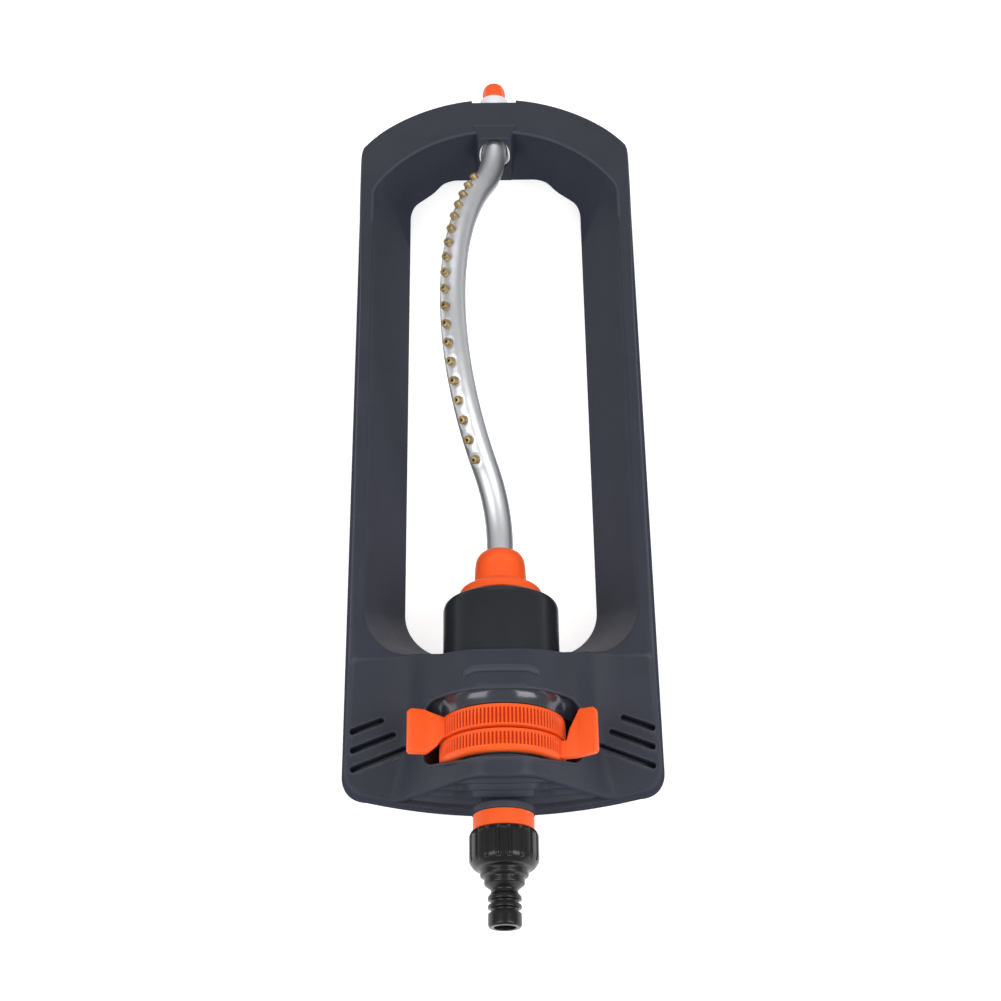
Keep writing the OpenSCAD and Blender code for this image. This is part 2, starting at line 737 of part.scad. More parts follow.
module end_plug() color("#f2652c")
    difference() {
        turned([[0, 190], [4.4, 190], [bore_r - 0.1, 191.2], [bore_r - 0.1, 198.6], [bore_r - 1.3, 198.6],
            [bore_r - 1.3, 200.4], [bore_r - 0.1, 200.4], [bore_r - 0.1, tube_y1 + 0.1],
            [6.7, tube_y1 + 0.1], [6.7, end_tip - 5.4], [5.9, end_tip - 1.5], [4.2, end_tip], [0, end_tip]]);
        for (a = [0:60:300])
            translate([0, bush_y1 + 2, axis_z])
                rotate([0, a, 0])
                    translate([0, 0, 7.2])
                        rotate([-90, 0, 0]) cylinder(h = 12, r = 0.9, $fn = 20);
    }

module end_plug_seal() color("#1c1c1e") o_ring(199.5, bore_r - 0.72, 0.56);

place() base_frame();
place() motor_clamp();
place() clamp_screws();
place() motor_housing();
place() motor_front_cap();
place() motor_rear_cover();
place() rear_cover_screws();
place() front_cap_seal();
place() rear_cover_seal();
place() inlet_spigot();
place() inlet_seal();
place() inlet_filter();
place() hose_adaptor();
place() adaptor_washer();
place() rear_range_ring();
place() front_range_ring();
place() jet_plate();
place() diverter_plate();
place() toggle_spring();
place() turbine_rotor();
place() turbine_shaft();
place() gear_plate_front();
place() gear_plate_rear();
place() plate_spacers();
place() gear_pin();
place() first_gear();
place() second_gear();
place() third_gear();
place() output_gear();
place() output_spindle();
place() spindle_seal();
place() spindle_clip();
place() tube_collar();
place() spray_tube();
place() jets();
place() far_bush();
place() end_plug();
place() end_plug_seal();
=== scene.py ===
import json
import math

import bmesh
import bpy
import numpy as np
from mathutils import Matrix, Vector


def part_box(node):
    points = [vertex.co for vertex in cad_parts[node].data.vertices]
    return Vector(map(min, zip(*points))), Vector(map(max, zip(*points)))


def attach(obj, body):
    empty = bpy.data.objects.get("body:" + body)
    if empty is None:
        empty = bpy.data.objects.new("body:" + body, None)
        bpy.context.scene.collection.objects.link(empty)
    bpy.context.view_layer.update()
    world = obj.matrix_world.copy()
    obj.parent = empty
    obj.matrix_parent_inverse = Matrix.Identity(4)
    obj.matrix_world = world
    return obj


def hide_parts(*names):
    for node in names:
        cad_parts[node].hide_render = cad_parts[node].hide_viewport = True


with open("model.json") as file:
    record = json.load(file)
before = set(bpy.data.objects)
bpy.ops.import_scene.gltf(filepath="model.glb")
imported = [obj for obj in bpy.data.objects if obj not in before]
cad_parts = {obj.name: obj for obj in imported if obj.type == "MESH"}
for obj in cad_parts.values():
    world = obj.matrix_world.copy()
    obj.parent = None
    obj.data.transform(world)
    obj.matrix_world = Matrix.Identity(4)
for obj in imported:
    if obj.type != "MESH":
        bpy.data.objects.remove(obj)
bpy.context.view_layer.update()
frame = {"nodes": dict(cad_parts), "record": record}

MM = 0.001
# The CAD's own numbers are in millimetres from the middle of the frame body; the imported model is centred.
PLUG_TIP = -269.4
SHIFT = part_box("hose_adaptor")[0][1] / MM - PLUG_TIP
AXIS_Z = next(j for j in frame["record"]["behaviour"]["joints"] if j["name"] == "tube_swing")["pos_m"][2] / MM


# ---------------------------------------------------------------- mesh tools

def metres(points):
    """Points in the CAD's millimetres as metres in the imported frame."""
    p = np.asarray(points, float).copy()
    p[:, 1] += SHIFT
    return p * MM


def add_object(name, data):
    obj = bpy.data.objects.new(name, data)
    bpy.context.collection.objects.link(obj)
    return obj


def make_piece(name, verts, faces, sharp=35.0):
    """A mesh object with its doubles welded and its faces turned outwards."""
    mesh = bpy.data.meshes.new(name)
    faces = [tuple(int(i) for i in f) for f in faces]
    mesh.from_pydata([tuple(v) for v in metres(verts)], [], faces)
    mesh.validate()
    bm = bmesh.new()
    bm.from_mesh(mesh)
    bmesh.ops.remove_doubles(bm, verts=bm.verts, dist=1e-7)
    bmesh.ops.recalc_face_normals(bm, faces=bm.faces)
    bm.to_mesh(mesh)
    bm.free()
    obj = add_object(name, mesh)
    smooth(obj, sharp)
    return obj


def smooth(obj, sharp):
    obj.data.shade_smooth()
    obj.data.set_sharp_from_angle(angle=math.radians(sharp))


def bake_modifiers(obj):
    """Turns the modified shape into the object's own mesh."""
    deps = bpy.context.evaluated_depsgraph_get()
    mesh = bpy.data.meshes.new_from_object(obj.evaluated_get(deps))
    old = obj.data
    obj.modifiers.clear()
    obj.data = mesh
    bpy.data.meshes.remove(old)


def cut_away(obj, cutter):
    """Takes the cutter out of the object, then removes the cutter."""
    mod = obj.modifiers.new("cut", "BOOLEAN")
    mod.operation = "DIFFERENCE"
    mod.solver = "MANIFOLD"
    mod.object = cutter
    bake_modifiers(obj)
    bpy.data.objects.remove(cutter)


def join(parts):
    """One list of vertices and faces out of several."""
    verts, faces = [], []
    for v, f in parts:
        base = sum(len(x) for x in verts)
        verts.append(np.asarray(v, float))
        faces += [tuple(i + base for i in face) for face in f]
    return np.vstack(verts), faces


def grid_faces(rows, cols, wrap_rows=False, wrap_cols=True):
    """Faces of a grid of vertices numbered row by row."""
    faces = []
    for i in range(rows if wrap_rows else rows - 1):
        for j in range(cols if wrap_cols else cols - 1):
            a, b = i, (i + 1) % rows
            c, d = j, (j + 1) % cols
            faces.append((a * cols + c, a * cols + d, b * cols + d, b * cols + c))
    return faces


def corner_point(a, corner, b, t):
    """The point at t, from 0 to 1, of a rounded corner between a and b."""
    return (1 - t) ** 2 * a + 2 * t * (1 - t) * corner + t * t * b


def rounded(points, radius, steps=4, closed=False):
    """A polyline with its corners rounded; radius is one number or one for each point."""
    pts = [np.asarray(p, float) for p in points]
    radii = radius if hasattr(radius, "__len__") else [radius] * len(pts)
    out = []
    count = len(pts)
    for i, p in enumerate(pts):
        if (not closed and i in (0, count - 1)) or radii[i] <= 0:
            out.append(p)
            continue
        a, b = pts[i - 1] - p, pts[(i + 1) % count] - p
        la, lb = np.linalg.norm(a), np.linalg.norm(b)
        d = min(radii[i], 0.45 * la, 0.45 * lb)
        a, b = p + a / la * d, p + b / lb * d
        out += [corner_point(a, p, b, k / steps) for k in range(steps + 1)]
    return np.array(out)


def loft(sections):
    """A closed bar through sections that are rings of points, with flat ends."""
    rings = np.asarray(sections, float)
    rows, cols = rings.shape[:2]
    faces = grid_faces(rows, cols)
    faces.append(tuple(range(cols))[::-1])
    faces.append(tuple((rows - 1) * cols + k for k in range(cols)))
    return rings.reshape(-1, 3), faces


def revolve(profile, count=96, shape=None):
    """Turns a profile of [radius, y] about the tube's axis.

    The profile is closed, or open with both its ends on the axis. shape(angle, radius, y) may change the
    radius.
    """
    prof = np.asarray(profile, float)
    on_axis = prof[:, 0] < 1e-6
    verts, faces, rings = [], [], []
    for (r, y), single in zip(prof, on_axis):
        if single:
            rings.append([len(verts)])
            verts.append((0.0, y, AXIS_Z))
            continue
        ring = []
        for k in range(count):
            a = 2 * math.pi * k / count
            q = shape(a, r, y) if shape else r
            ring.append(len(verts))
            verts.append((q * math.sin(a), y, AXIS_Z + q * math.cos(a)))
        rings.append(ring)
    total = len(rings)
    closed = not on_axis.any()
    for i in range(total if closed else total - 1):
        a, b = rings[i], rings[(i + 1) % total]
        if len(a) == 1 and len(b) == 1:
            continue
        for k in range(count):
            m = (k + 1) % count
            if len(a) == 1:
                faces.append((a[0], b[k], b[m]))
            elif len(b) == 1:
                faces.append((a[k], b[0], a[m]))
            else:
                faces.append((a[k], b[k], b[m], a[m]))
    return np.array(verts), faces


def sweep(path, radius, count=12, closed=False):
    """A round bar along a path; radius is a number or an array of [across, up] pairs."""
    path = np.asarray(path, float)
    n = len(path)
    if closed:
        tangent = np.roll(path, -1, axis=0) - np.roll(path, 1, axis=0)
    else:
        tangent = np.gradient(path, axis=0)
    tangent /= np.linalg.norm(tangent, axis=1)[:, None]
    side = np.cross(tangent, [0.0, 0.0, 1.0])
    side /= np.linalg.norm(side, axis=1)[:, None]
    top = np.cross(side, tangent)
    radii = np.asarray(radius, float)
    if radii.ndim == 0:
        radii = np.full((n, 2), float(radii))
    turns = 2 * np.pi * np.arange(count) / count
    rings = np.array([path[i] + np.outer(np.cos(turns), side[i] * radii[i, 0])
                      + np.outer(np.sin(turns), top[i] * radii[i, 1]) for i in range(n)])
    if closed:
        return rings.reshape(-1, 3), grid_faces(n, count, wrap_rows=True)
    return loft(rings)


def prism(outline, z0, z1):
    """A vertical prism between two heights over an outline of [x, y]."""
    o = np.asarray(outline, float)
    n = len(o)
    low = np.column_stack([o, np.full(n, z0)])
    high = np.column_stack([o, np.full(n, z1)])
    faces = [tuple(range(n))[::-1], tuple(range(n, 2 * n))]
    faces += [(k, (k + 1) % n, n + (k + 1) % n, n + k) for k in range(n)]
    return np.vstack([low, high]), faces


def box(x0, x1, y0, y1, z0, z1):
    return prism([[x0, y0], [x1, y0], [x1, y1], [x0, y1]], z0, z1)


def arc(cx, cy, r, a0, a1, count):
    """Points of an arc from angle a0 to a1, in degrees."""
    a = np.radians(np.linspace(a0, a1, count))
    return np.column_stack([cx + r * np.cos(a), cy + r * np.sin(a)])


def resample(line, count):
    """The same line with count points evenly spaced along it."""
    d = np.r_[0, np.cumsum(np.linalg.norm(np.diff(line, axis=0), axis=1))]
    t = np.linspace(0, d[-1], count)
    return np.column_stack([np.interp(t, d, line[:, k]) for k in range(line.shape[1])])


def dense(line, gap, closed=False):
    """The same line with points no further apart than about gap."""
    pairs = list(zip(line[:-1], line[1:]))
    if closed:
        pairs.append((line[-1], line[0]))
    out = []
    for a, b in pairs:
        k = max(1, int(np.linalg.norm(b - a) / gap))
        out += [a + (b - a) * j / k for j in range(k)]
    if not closed:
        out.append(line[-1])
    return np.array(out)


def step(t):
    """Smooth step from 0 to 1."""
    t = np.clip(t, 0, 1)
    return t * t * (3 - 2 * t)


def soft_min(a, b, k):
    """The smaller value, with the corner rounded over a width of k."""
    h = np.clip(0.5 + 0.5 * (b - a) / k, 0, 1)
    return b * (1 - h) + a * h - k * h * (1 - h)


def soft_max(a, b, k):
    return -soft_min(-a, -b, k)


def mirror_x(part):
    v, f = part
    v = np.array(v, float)
    v[:, 0] *= -1
    return v, [tuple(face[::-1]) for face in f]


# ---------------------------------------------------------------- materials

def new_material(name):
    """A material, its node tree, its shader and the place on the object that its patterns follow."""
    mat = bpy.data.materials.new(name)
    mat.use_nodes = True
    tree = mat.node_tree
    tree.nodes.clear()
    out = tree.nodes.new("ShaderNodeOutputMaterial")
    bsdf = tree.nodes.new("ShaderNodeBsdfPrincipled")
    tree.links.new(bsdf.outputs[0], out.inputs[0])
    return mat, tree, bsdf, tree.nodes.new("ShaderNodeTexCoord").outputs["Object"]


def noise(tree, vector, scale, detail, stretch=None):
    if stretch:
        mapping = tree.nodes.new("ShaderNodeMapping")
        mapping.inputs["Scale"].default_value = stretch
        tree.links.new(vector, mapping.inputs["Vector"])
        vector = mapping.outputs[0]
    n = tree.nodes.new("ShaderNodeTexNoise")
    n.inputs["Scale"].default_value = scale
    n.inputs["Detail"].default_value = detail
    n.inputs["Roughness"].default_value = 0.55
    tree.links.new(vector, n.inputs["Vector"])
    return n.outputs["Fac"]


def ramp(tree, fac, stops):
    r = tree.nodes.new("ShaderNodeValToRGB")
    el = r.color_ramp.elements
    while len(el) < len(stops):
        el.new(0.5)
    for e, (pos, col) in zip(el, stops):
        e.position = pos
        e.color = (*col, 1) if hasattr(col, "__len__") else (col, col, col, 1)
    tree.links.new(fac, r.inputs["Fac"])
    return r.outputs["Color"]


def shade(base, k):
    """A colour k times as bright."""
    return tuple(min(1.0, c * k) for c in base)


def mix(tree, fac, a, b):
    """Between a and b, each a colour or a socket."""
    m = tree.nodes.new("ShaderNodeMix")
    m.data_type = "RGBA"
    tree.links.new(fac, m.inputs["Factor"])
    for sock, val in ((m.inputs["A"], a), (m.inputs["B"], b)):
        if hasattr(val, "is_linked"):
            tree.links.new(val, sock)
        else:
            sock.default_value = (*val, 1)
    return m.outputs["Result"]


def bump(tree, height, strength, distance, before=None):
    b = tree.nodes.new("ShaderNodeBump")
    b.inputs["Strength"].default_value = strength
    b.inputs["Distance"].default_value = distance
    tree.links.new(height, b.inputs["Height"])
    if before is not None:
        tree.links.new(before, b.inputs["Normal"])
    return b.outputs["Normal"]


def plastic(name, base, rough=(0.42, 0.52), grain=1400.0, grain_depth=0.00003, blotch=0.10, edge_wear_and_highlight=0.35,
            specular=0.5, coat=0.0, scratches=0.10, groove=None, walls_painted_lighter=False):
    """Moulded plastic: a fine grain, slow colour drift, paler edges and a few rubbed marks.

    The paler edges are partly scuffed and partly a painted highlight along sharp ridges. groove is a painted
    shade colour for the bottom of fine grooves. The option for walls paints steep faces lighter, as painted
    light, and takes the gloss off them.
    """
    mat, tree, bsdf, where = new_material(name)
    drift = noise(tree, where, 28.0, 4.0)
    colour = ramp(tree, drift, [(0.3, shade(base, 1 - blotch)), (0.7, shade(base, 1 + blotch))])
    fleck = noise(tree, where, 900.0, 2.0)
    fleck_on = ramp(tree, fleck, [(0.62, 0.0), (0.75, 1.0)])
    colour = mix(tree, fleck_on, colour, shade(base, 1.12))
    geo = tree.nodes.new("ShaderNodeNewGeometry")
    # Paler edges: partly scuffing, partly a painted highlight on sharp ridges.
    edge = ramp(tree, geo.outputs["Pointiness"], [(0.508, 0.0), (0.535, edge_wear_and_highlight)])
    worn_and_highlight_colour = tuple(min(1.0, c * 1.5 + 0.02) for c in base)
    colour = mix(tree, edge, colour, worn_and_highlight_colour)
    # Painted shade: the bottoms of fine grooves, found by low pointiness, turn to the darker groove colour.
    if groove:
        hollow = ramp(tree, geo.outputs["Pointiness"], [(0.45, 1.0), (0.496, 0.0)])
        colour = mix(tree, hollow, colour, groove)
    # Painted light: faces that stand steep are painted a fifth lighter than the base colour, and their gloss
    # is taken off, by which way they face.
    if walls_painted_lighter:
        split = tree.nodes.new("ShaderNodeSeparateXYZ")
        tree.links.new(geo.outputs["Normal"], split.inputs[0])
        level = ramp(tree, split.outputs["Z"], [(0.35, 0.0), (0.72, 1.0)])
        colour = mix(tree, level, shade(base, 1.2), colour)
        gloss = mix(tree, level, (0.0,) * 3, (specular,) * 3)
        tree.links.new(gloss, bsdf.inputs["Specular IOR Level"])
    tree.links.new(colour, bsdf.inputs["Base Color"])
    patch = noise(tree, where, 60.0, 5.0)
    streak = noise(tree, where, 220.0, 3.0, stretch=(1.0, 0.12, 1.0))
    both = mix(tree, patch, (rough[0],) * 3, (rough[1],) * 3)
    marks = ramp(tree, streak, [(0.60, 0.0), (0.68, scratches)])
    rough_out = mix(tree, marks, both, (min(1.0, rough[1] + 0.15),) * 3)
    tree.links.new(rough_out, bsdf.inputs["Roughness"])
    bsdf.inputs["Specular IOR Level"].default_value = specular
    if coat:
        bsdf.inputs["Coat Weight"].default_value = coat
        bsdf.inputs["Coat Roughness"].default_value = 0.12
    fine = noise(tree, where, grain, 2.0)
    normal = bump(tree, fine, 0.55, grain_depth)
    wave = noise(tree, where, 45.0, 2.0)
    normal = bump(tree, wave, 0.35, 0.0002, normal)
    tree.links.new(normal, bsdf.inputs["Normal"])
    return mat


def metal(name, base, rough=(0.25, 0.38), stretch=(1.0, 0.03, 1.0), brush=1800.0, tarnish=None):
    """Drawn or turned metal: fine lines one way, slow dulling and small marks."""
    mat, tree, bsdf, where = new_material(name)
    cloud = noise(tree, where, 70.0, 4.0)
    colour = ramp(tree, cloud, [(0.35, base), (0.75, tarnish or shade(base, 0.92))])
    tree.links.new(colour, bsdf.inputs["Base Color"])
    bsdf.inputs["Metallic"].default_value = 1.0
    lines = noise(tree, where, brush, 2.0, stretch=stretch)
    rough_out = mix(tree, lines, (rough[0],) * 3, (rough[1],) * 3)
    tree.links.new(rough_out, bsdf.inputs["Roughness"])
    normal = bump(tree, lines, 0.4, 0.00001)
    tree.links.new(normal, bsdf.inputs["Normal"])
    return mat


FRAME_GREY = (0.034, 0.037, 0.051)
SLOT_MATERIAL = {
    # The frame's strong edge paling paints a highlight line along its ridges, and its steep walls are painted
    # lighter.
    "frame_plastic": plastic("frame_grain", FRAME_GREY, rough=(0.42, 0.54), edge_wear_and_highlight=0.45, specular=0.2,
                             walls_painted_lighter=True),
    "motor_plastic": plastic("motor_shell", (0.017, 0.019, 0.023), rough=(0.26, 0.36), grain_depth=0.00001,
                             edge_wear_and_highlight=0.25, specular=0.25),
    "cover_plastic": plastic("cover_grey", (0.030, 0.032, 0.042), rough=(0.42, 0.52), edge_wear_and_highlight=0.25),
    # The orange's groove colour is painted shade in the bottoms of the rings' ribs.
    "orange_plastic": plastic("orange_moulding", (0.93, 0.105, 0.014), rough=(0.36, 0.48), blotch=0.05,
                              edge_wear_and_highlight=0.10, grain_depth=0.000015, scratches=0.06, specular=0.25,
                              groove=(0.50, 0.035, 0.005)),
    "black_plastic": plastic("black_moulding", (0.008, 0.008, 0.009), rough=(0.22, 0.32), blotch=0.15,
                             grain_depth=0.00001, edge_wear_and_highlight=0.2, coat=0.08, specular=0.3),
    "white_plastic": plastic("white_acetal", (0.80, 0.81, 0.82), rough=(0.30, 0.42), blotch=0.03, edge_wear_and_highlight=0.0,
                             grain_depth=0.00001, scratches=0.05),
    "yellow_plastic": plastic("yellow_acetal", (0.76, 0.50, 0.08), rough=(0.32, 0.44), blotch=0.05, edge_wear_and_highlight=0.1,
                              grain_depth=0.00001, scratches=0.05),
    "seal_rubber": plastic("seal_black", (0.014, 0.014, 0.015), rough=(0.62, 0.75), blotch=0.2, edge_wear_and_highlight=0.1),
    "tube_aluminium": metal("tube_satin", (0.71, 0.72, 0.74), rough=(0.40, 0.50)),
    "jet_brass": metal("jet_dull_brass", (0.46, 0.36, 0.20), rough=(0.40, 0.58), stretch=(1.0, 1.0, 1.0),
                       brush=900.0, tarnish=(0.34, 0.23, 0.10)),
    "steel": metal("fine_steel", (0.60, 0.61, 0.63), rough=(0.22, 0.36), stretch=(1.0, 1.0, 0.1)),
}
# A glossier copy of the frame plastic, painted a tenth darker as shade for the window's recess.
WELL_MATERIAL = plastic("frame_gloss_shaded", shade(FRAME_GREY, 0.9), rough=(0.16, 0.24), grain_depth=0.00001,
                        edge_wear_and_highlight=0.2, coat=0.3)


def finish_piece(obj, body, slot, nodes=(), material=None):
    """Gives a piece the material of its slot, attaches it to its body and hides the CAD nodes that it stands
    for.
    """
    obj.data.materials.clear()
    obj.data.materials.append(material or SLOT_MATERIAL[slot])
    for face in obj.data.polygons:
        face.material_index = 0
    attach(obj, body)
    if nodes:
        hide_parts(*nodes)


for part in frame["record"]["subparts"]:
    node = frame["nodes"][part["node"]]
    for s in node.material_slots or [None]:
        if s is None:
            node.data.materials.append(SLOT_MATERIAL[part["material_slot"]])
        else:
            s.material = SLOT_MATERIAL[part["material_slot"]]

# ---------------------------------------------------------------- frame shell

# Plan: the front bow, the arch's centre, the outer sides, the inner ridge and the inner foot.
Y_FRONT, Y_ARCH = -206.5, 104.5
ARCH_OUT, ARCH_IN = 104.0, 78.5
SIDE_FRONT, SIDE_FAR = 80.4, 79.9
RIDGE_X, INNER_X = 68.2, 50.0
INNER_NEAR, INNER_END = -122.0, 183.4
BOW_R, CORNER_Y, CORNER_R, FAR_FILLET = 300.0, -186.6, 12.0, 15.0
RIDGE_R, INNER_R = 28.0, 24.0
# Where the deck's wings end and where the rails begin.
WING_Y, RAIL_Y = -148.0, -112.0
TAPER_Y, TAPER_LENGTH, TAPER_X = -186.0, 345.0, 78.0
# Heights: the rails, the foot, the deck's front edge down to its tips, and the hump at its rear edge.
RAIL_Z = 45.0
FOOT_Z, FOOT_OUT = 3.0, 0.5
EDGE_Z, EDGE_X, EDGE_SLOPE, TIP_Z = 62.5, 14.5, 1.35, 9.0
REAR_Z, HUMP_RISE, HUMP_X, HUMP_POWER = 45.2, 22.8, 38.5, 3.73
REAR_Y, REAR_STEP, REAR_X, REAR_BLEND = -144.6, 4.6, 26.0, 18.0
WING_X, WING_SPREAD, CROWN = 36.0, 1.5, 3.2
SKIN = 2.4
WIN_X, WIN_Y0, WIN_Y1, WIN_R = 38.0, -196.8, -164.0, 6.0
WIN_FLAT, WIN_SWEEP = 18.0, 3.6
# Points along each stretch of the loops.
N_DECK, N_NEAR, N_RAIL, N_FAR, N_ARCH = 64, 30, 44, 22, 44


def front_y(x):
    return Y_FRONT + BOW_R - np.sqrt(BOW_R ** 2 - x ** 2)


def rear_y(x):
    return REAR_Y + REAR_STEP * step((np.abs(x) - REAR_X) / REAR_BLEND)


def front_height(x):
    slope = soft_min(EDGE_Z, EDGE_Z - EDGE_SLOPE * (np.abs(x) - EDGE_X), 9.0)
    return soft_max(slope, TIP_Z, 4.0)


def rear_height(x):
    return REAR_Z + HUMP_RISE * np.exp(-(np.abs(x) / HUMP_X) ** HUMP_POWER)


def deck_height(x, y):
    """Height of the deck, ruled from its front edge to its rear edge with a slight crown."""
    ax = np.abs(x)
    front = front_y(np.clip(ax, 0, 75))
    q = np.clip((y - front) / (rear_y(x) - front), 0, 1)
    spread = ax + WING_SPREAD * q * np.clip(ax - WING_X, 0, None)
    return front_height(spread) * (1 - q) + rear_height(x) * q + CROWN * q * (1 - q)


def upright(x, y0, y1, count):
    """Points of a line along y at one x, without its first point."""
    return np.column_stack([np.full(count, x), np.linspace(y0, y1, count)])[1:]


def far_corner(side, arch_r):
    """Centre and turning angle of the fillet between a straight side and the arch."""
    x = side - FAR_FILLET
    y = math.sqrt((arch_r - FAR_FILLET) ** 2 - x ** 2)
    return x, Y_ARCH + y, math.degrees(math.atan2(y, x))


def meet(origin, toward, line):
    """Where the ray from origin through toward meets a polyline; its last point if it never does."""
    d = toward - origin
    hit = line[-1]
    for a, b in zip(line[:-1], line[1:]):
        e = b - a
        det = d[1] * e[0] - d[0] * e[1]
        if abs(det) < 1e-9:
            continue
        gap = a - origin
        s = (gap[1] * e[0] - gap[0] * e[1]) / det
        t = (d[0] * gap[1] - d[1] * gap[0]) / det
        if -1e-6 <= t <= 1 + 1e-6 and s > 0:
            hit = a + t * e
    return hit


def frame_loops():
    """Right half of the loops round the opening: the outer foot, the inner ridge and the inner foot."""
    x_front = np.linspace(0, RIDGE_X, 60)
    deck = resample(np.vstack([
        np.column_stack([x_front, front_y(x_front)]),
        arc(SIDE_FRONT - CORNER_R, CORNER_Y, CORNER_R, -88, 0, 16),
        [[SIDE_FRONT, WING_Y]]]), N_DECK)
    fx, fy, turn = far_corner(SIDE_FRONT, ARCH_OUT)
    outer = np.vstack([
        deck,
        upright(SIDE_FRONT, WING_Y, RAIL_Y, N_NEAR),
        upright(SIDE_FRONT, RAIL_Y, fy, N_RAIL),
        resample(arc(fx, fy, FAR_FILLET, 0, turn, 30), N_FAR)[1:],
        arc(0, Y_ARCH, ARCH_OUT, turn, 90, N_ARCH)[1:]])
    squeeze = (SIDE_FRONT - SIDE_FAR) * np.clip((outer[:, 1] - TAPER_Y) / TAPER_LENGTH, 0, 1)
    outer[:, 0] -= squeeze * np.clip(outer[:, 0] / TAPER_X, 0, 1)

    x_rear = np.linspace(0, RIDGE_X - RIDGE_R, N_DECK)
    fx, fy, turn = far_corner(RIDGE_X, ARCH_IN)
    ridge = np.vstack([
        np.column_stack([x_rear, rear_y(x_rear)]),
        arc(RIDGE_X - RIDGE_R, RAIL_Y, RIDGE_R, -90, 0, N_NEAR)[1:],
        upright(RIDGE_X, RAIL_Y, fy, N_RAIL),
        arc(fx, fy, FAR_FILLET, 0, turn, N_FAR)[1:],
        arc(0, Y_ARCH, ARCH_IN, turn, 90, N_ARCH)[1:]])

    far_line = rounded([[INNER_X, 100], [INNER_X, 158.5], [47.6, 165.2], [42, 169.6], [36.3, 174.2],
                        [30.8, 181.2], [25, INNER_END], [0, INNER_END]], [0, 7, 3, 4, 4, 4, 3, 0], 6)
    centre = np.array([0, Y_ARCH])
    inner_far = np.array([meet(centre, p, far_line) for p in ridge[N_DECK + N_NEAR + N_RAIL - 3:]])
    near_y = INNER_NEAR + INNER_R
    inner = np.vstack([
        np.column_stack([np.linspace(0, INNER_X - INNER_R, N_DECK), np.full(N_DECK, INNER_NEAR)]),
        arc(INNER_X - INNER_R, near_y, INNER_R, -90, 0, N_NEAR)[1:],
        upright(INNER_X, near_y, inner_far[0, 1], N_RAIL)[:-1],
        inner_far])
    return outer, ridge, inner


def loop_normals(loop):
    """Outward directions of the right half of a loop that is closed by its mirror image."""
    ext = np.vstack([loop[1] * [-1, 1], loop, loop[-2] * [-1, 1]])
    t = ext[2:] - ext[:-2]
    t /= np.linalg.norm(t, axis=1)[:, None]
    return np.column_stack([t[:, 1], -t[:, 0]])


# Rows of one cross-section, and how far its outer wall leans in on the rails, the arch and the front.
WALL_ROWS, CREST_ROWS, TOP_ROWS, RIDGE_ROWS, INNER_ROWS = 34, 7, 30, 7, 12
RAIL_LEAN, RAIL_LEAN_FADE, ARCH_LEAN, FRONT_LEAN = 5.0, 1.6, 0.5, 0.3
CREST_R, RAIL_CREST_R, RIDGE_ROUND = 1.6, 2.6, 1.8
RIDGE_RAIL_Y = RAIL_Y + 0.1


def bend(a, corner, b, count):
    """Points of a rounded corner between a and b, without its ends."""
    return [corner_point(a, corner, b, t) for t in np.linspace(0, 1, count + 2)[1:-1]]


def section(o, n, c, k, side, far):
    """One cross-section from the outer foot o, facing n, over the ridge c to the inner foot k."""
    top0 = deck_height(o[0], o[1]) if o[1] < RAIL_Y else RAIL_Z
    rail_lean = RAIL_LEAN - RAIL_LEAN_FADE * step((o[1] - 60) / 90)
    lean = (rail_lean * side * (1 - far) + ARCH_LEAN * far + FRONT_LEAN * (1 - side)) * top0 / RAIL_Z
    foot = o - n * FOOT_OUT
    crest = foot - n * lean
    top0 = deck_height(crest[0], crest[1]) if crest[1] < RAIL_Y else RAIL_Z
    top1 = deck_height(c[0], c[1]) if c[1] < RIDGE_RAIL_Y else RAIL_Z
    p0 = np.array([*foot, FOOT_Z + 0.7])
    p1 = np.array([*crest, top0])
    p2 = np.array([*c, top1])
    p3 = np.array([*k, 0.0])
    r1 = min(CREST_R + RAIL_CREST_R * side * (1 - far), 0.42 * top0)
    rows = [np.array([*o, z]) for z in (0.0, FOOT_Z * 0.5, FOOT_Z - 0.3)]
    rows.append(np.array([*(o - n * 0.25), FOOT_Z + 0.1]))
    a = p1 + (p0 - p1) / np.linalg.norm(p0 - p1) * r1
    rows += [p0 + (a - p0) * t for t in np.linspace(0, 1, WALL_ROWS - 4)]

    def top_point(t):
        q = p1 + (p2 - p1) * t
        if q[1] < RIDGE_RAIL_Y:
            q[2] = deck_height(q[0], q[1])
        return q

    span = np.linalg.norm(p2[:2] - p1[:2])
    start, end = min(0.3, r1 / span), 1 - min(0.3, RIDGE_ROUND / span)
    d = p2 + (p3 - p2) / np.linalg.norm(p3 - p2) * RIDGE_ROUND
    rows += bend(a, p1, top_point(start), CREST_ROWS)
    rows += [top_point(t) for t in np.linspace(start, end, TOP_ROWS)]
    rows += bend(top_point(end), p2, d, RIDGE_ROWS)
    rows += [d + (p3 - d) * t for t in np.linspace(0, 1, INNER_ROWS)]
    return np.array(rows)


PANEL_X, PANEL_EDGE, PANEL_FOOT, PANEL_DEPTH = 52.5, 3.4, 6.5, 3.4


def panel_depth(x, z):
    """How far the grille panel of the front wall is set back."""
    top = front_height(x) - PANEL_EDGE
    inside = step((top - z) / 1.4) * step((z - PANEL_FOOT) / 1.4) * step((PANEL_X - np.abs(x)) / 2.0)
    return PANEL_DEPTH * inside


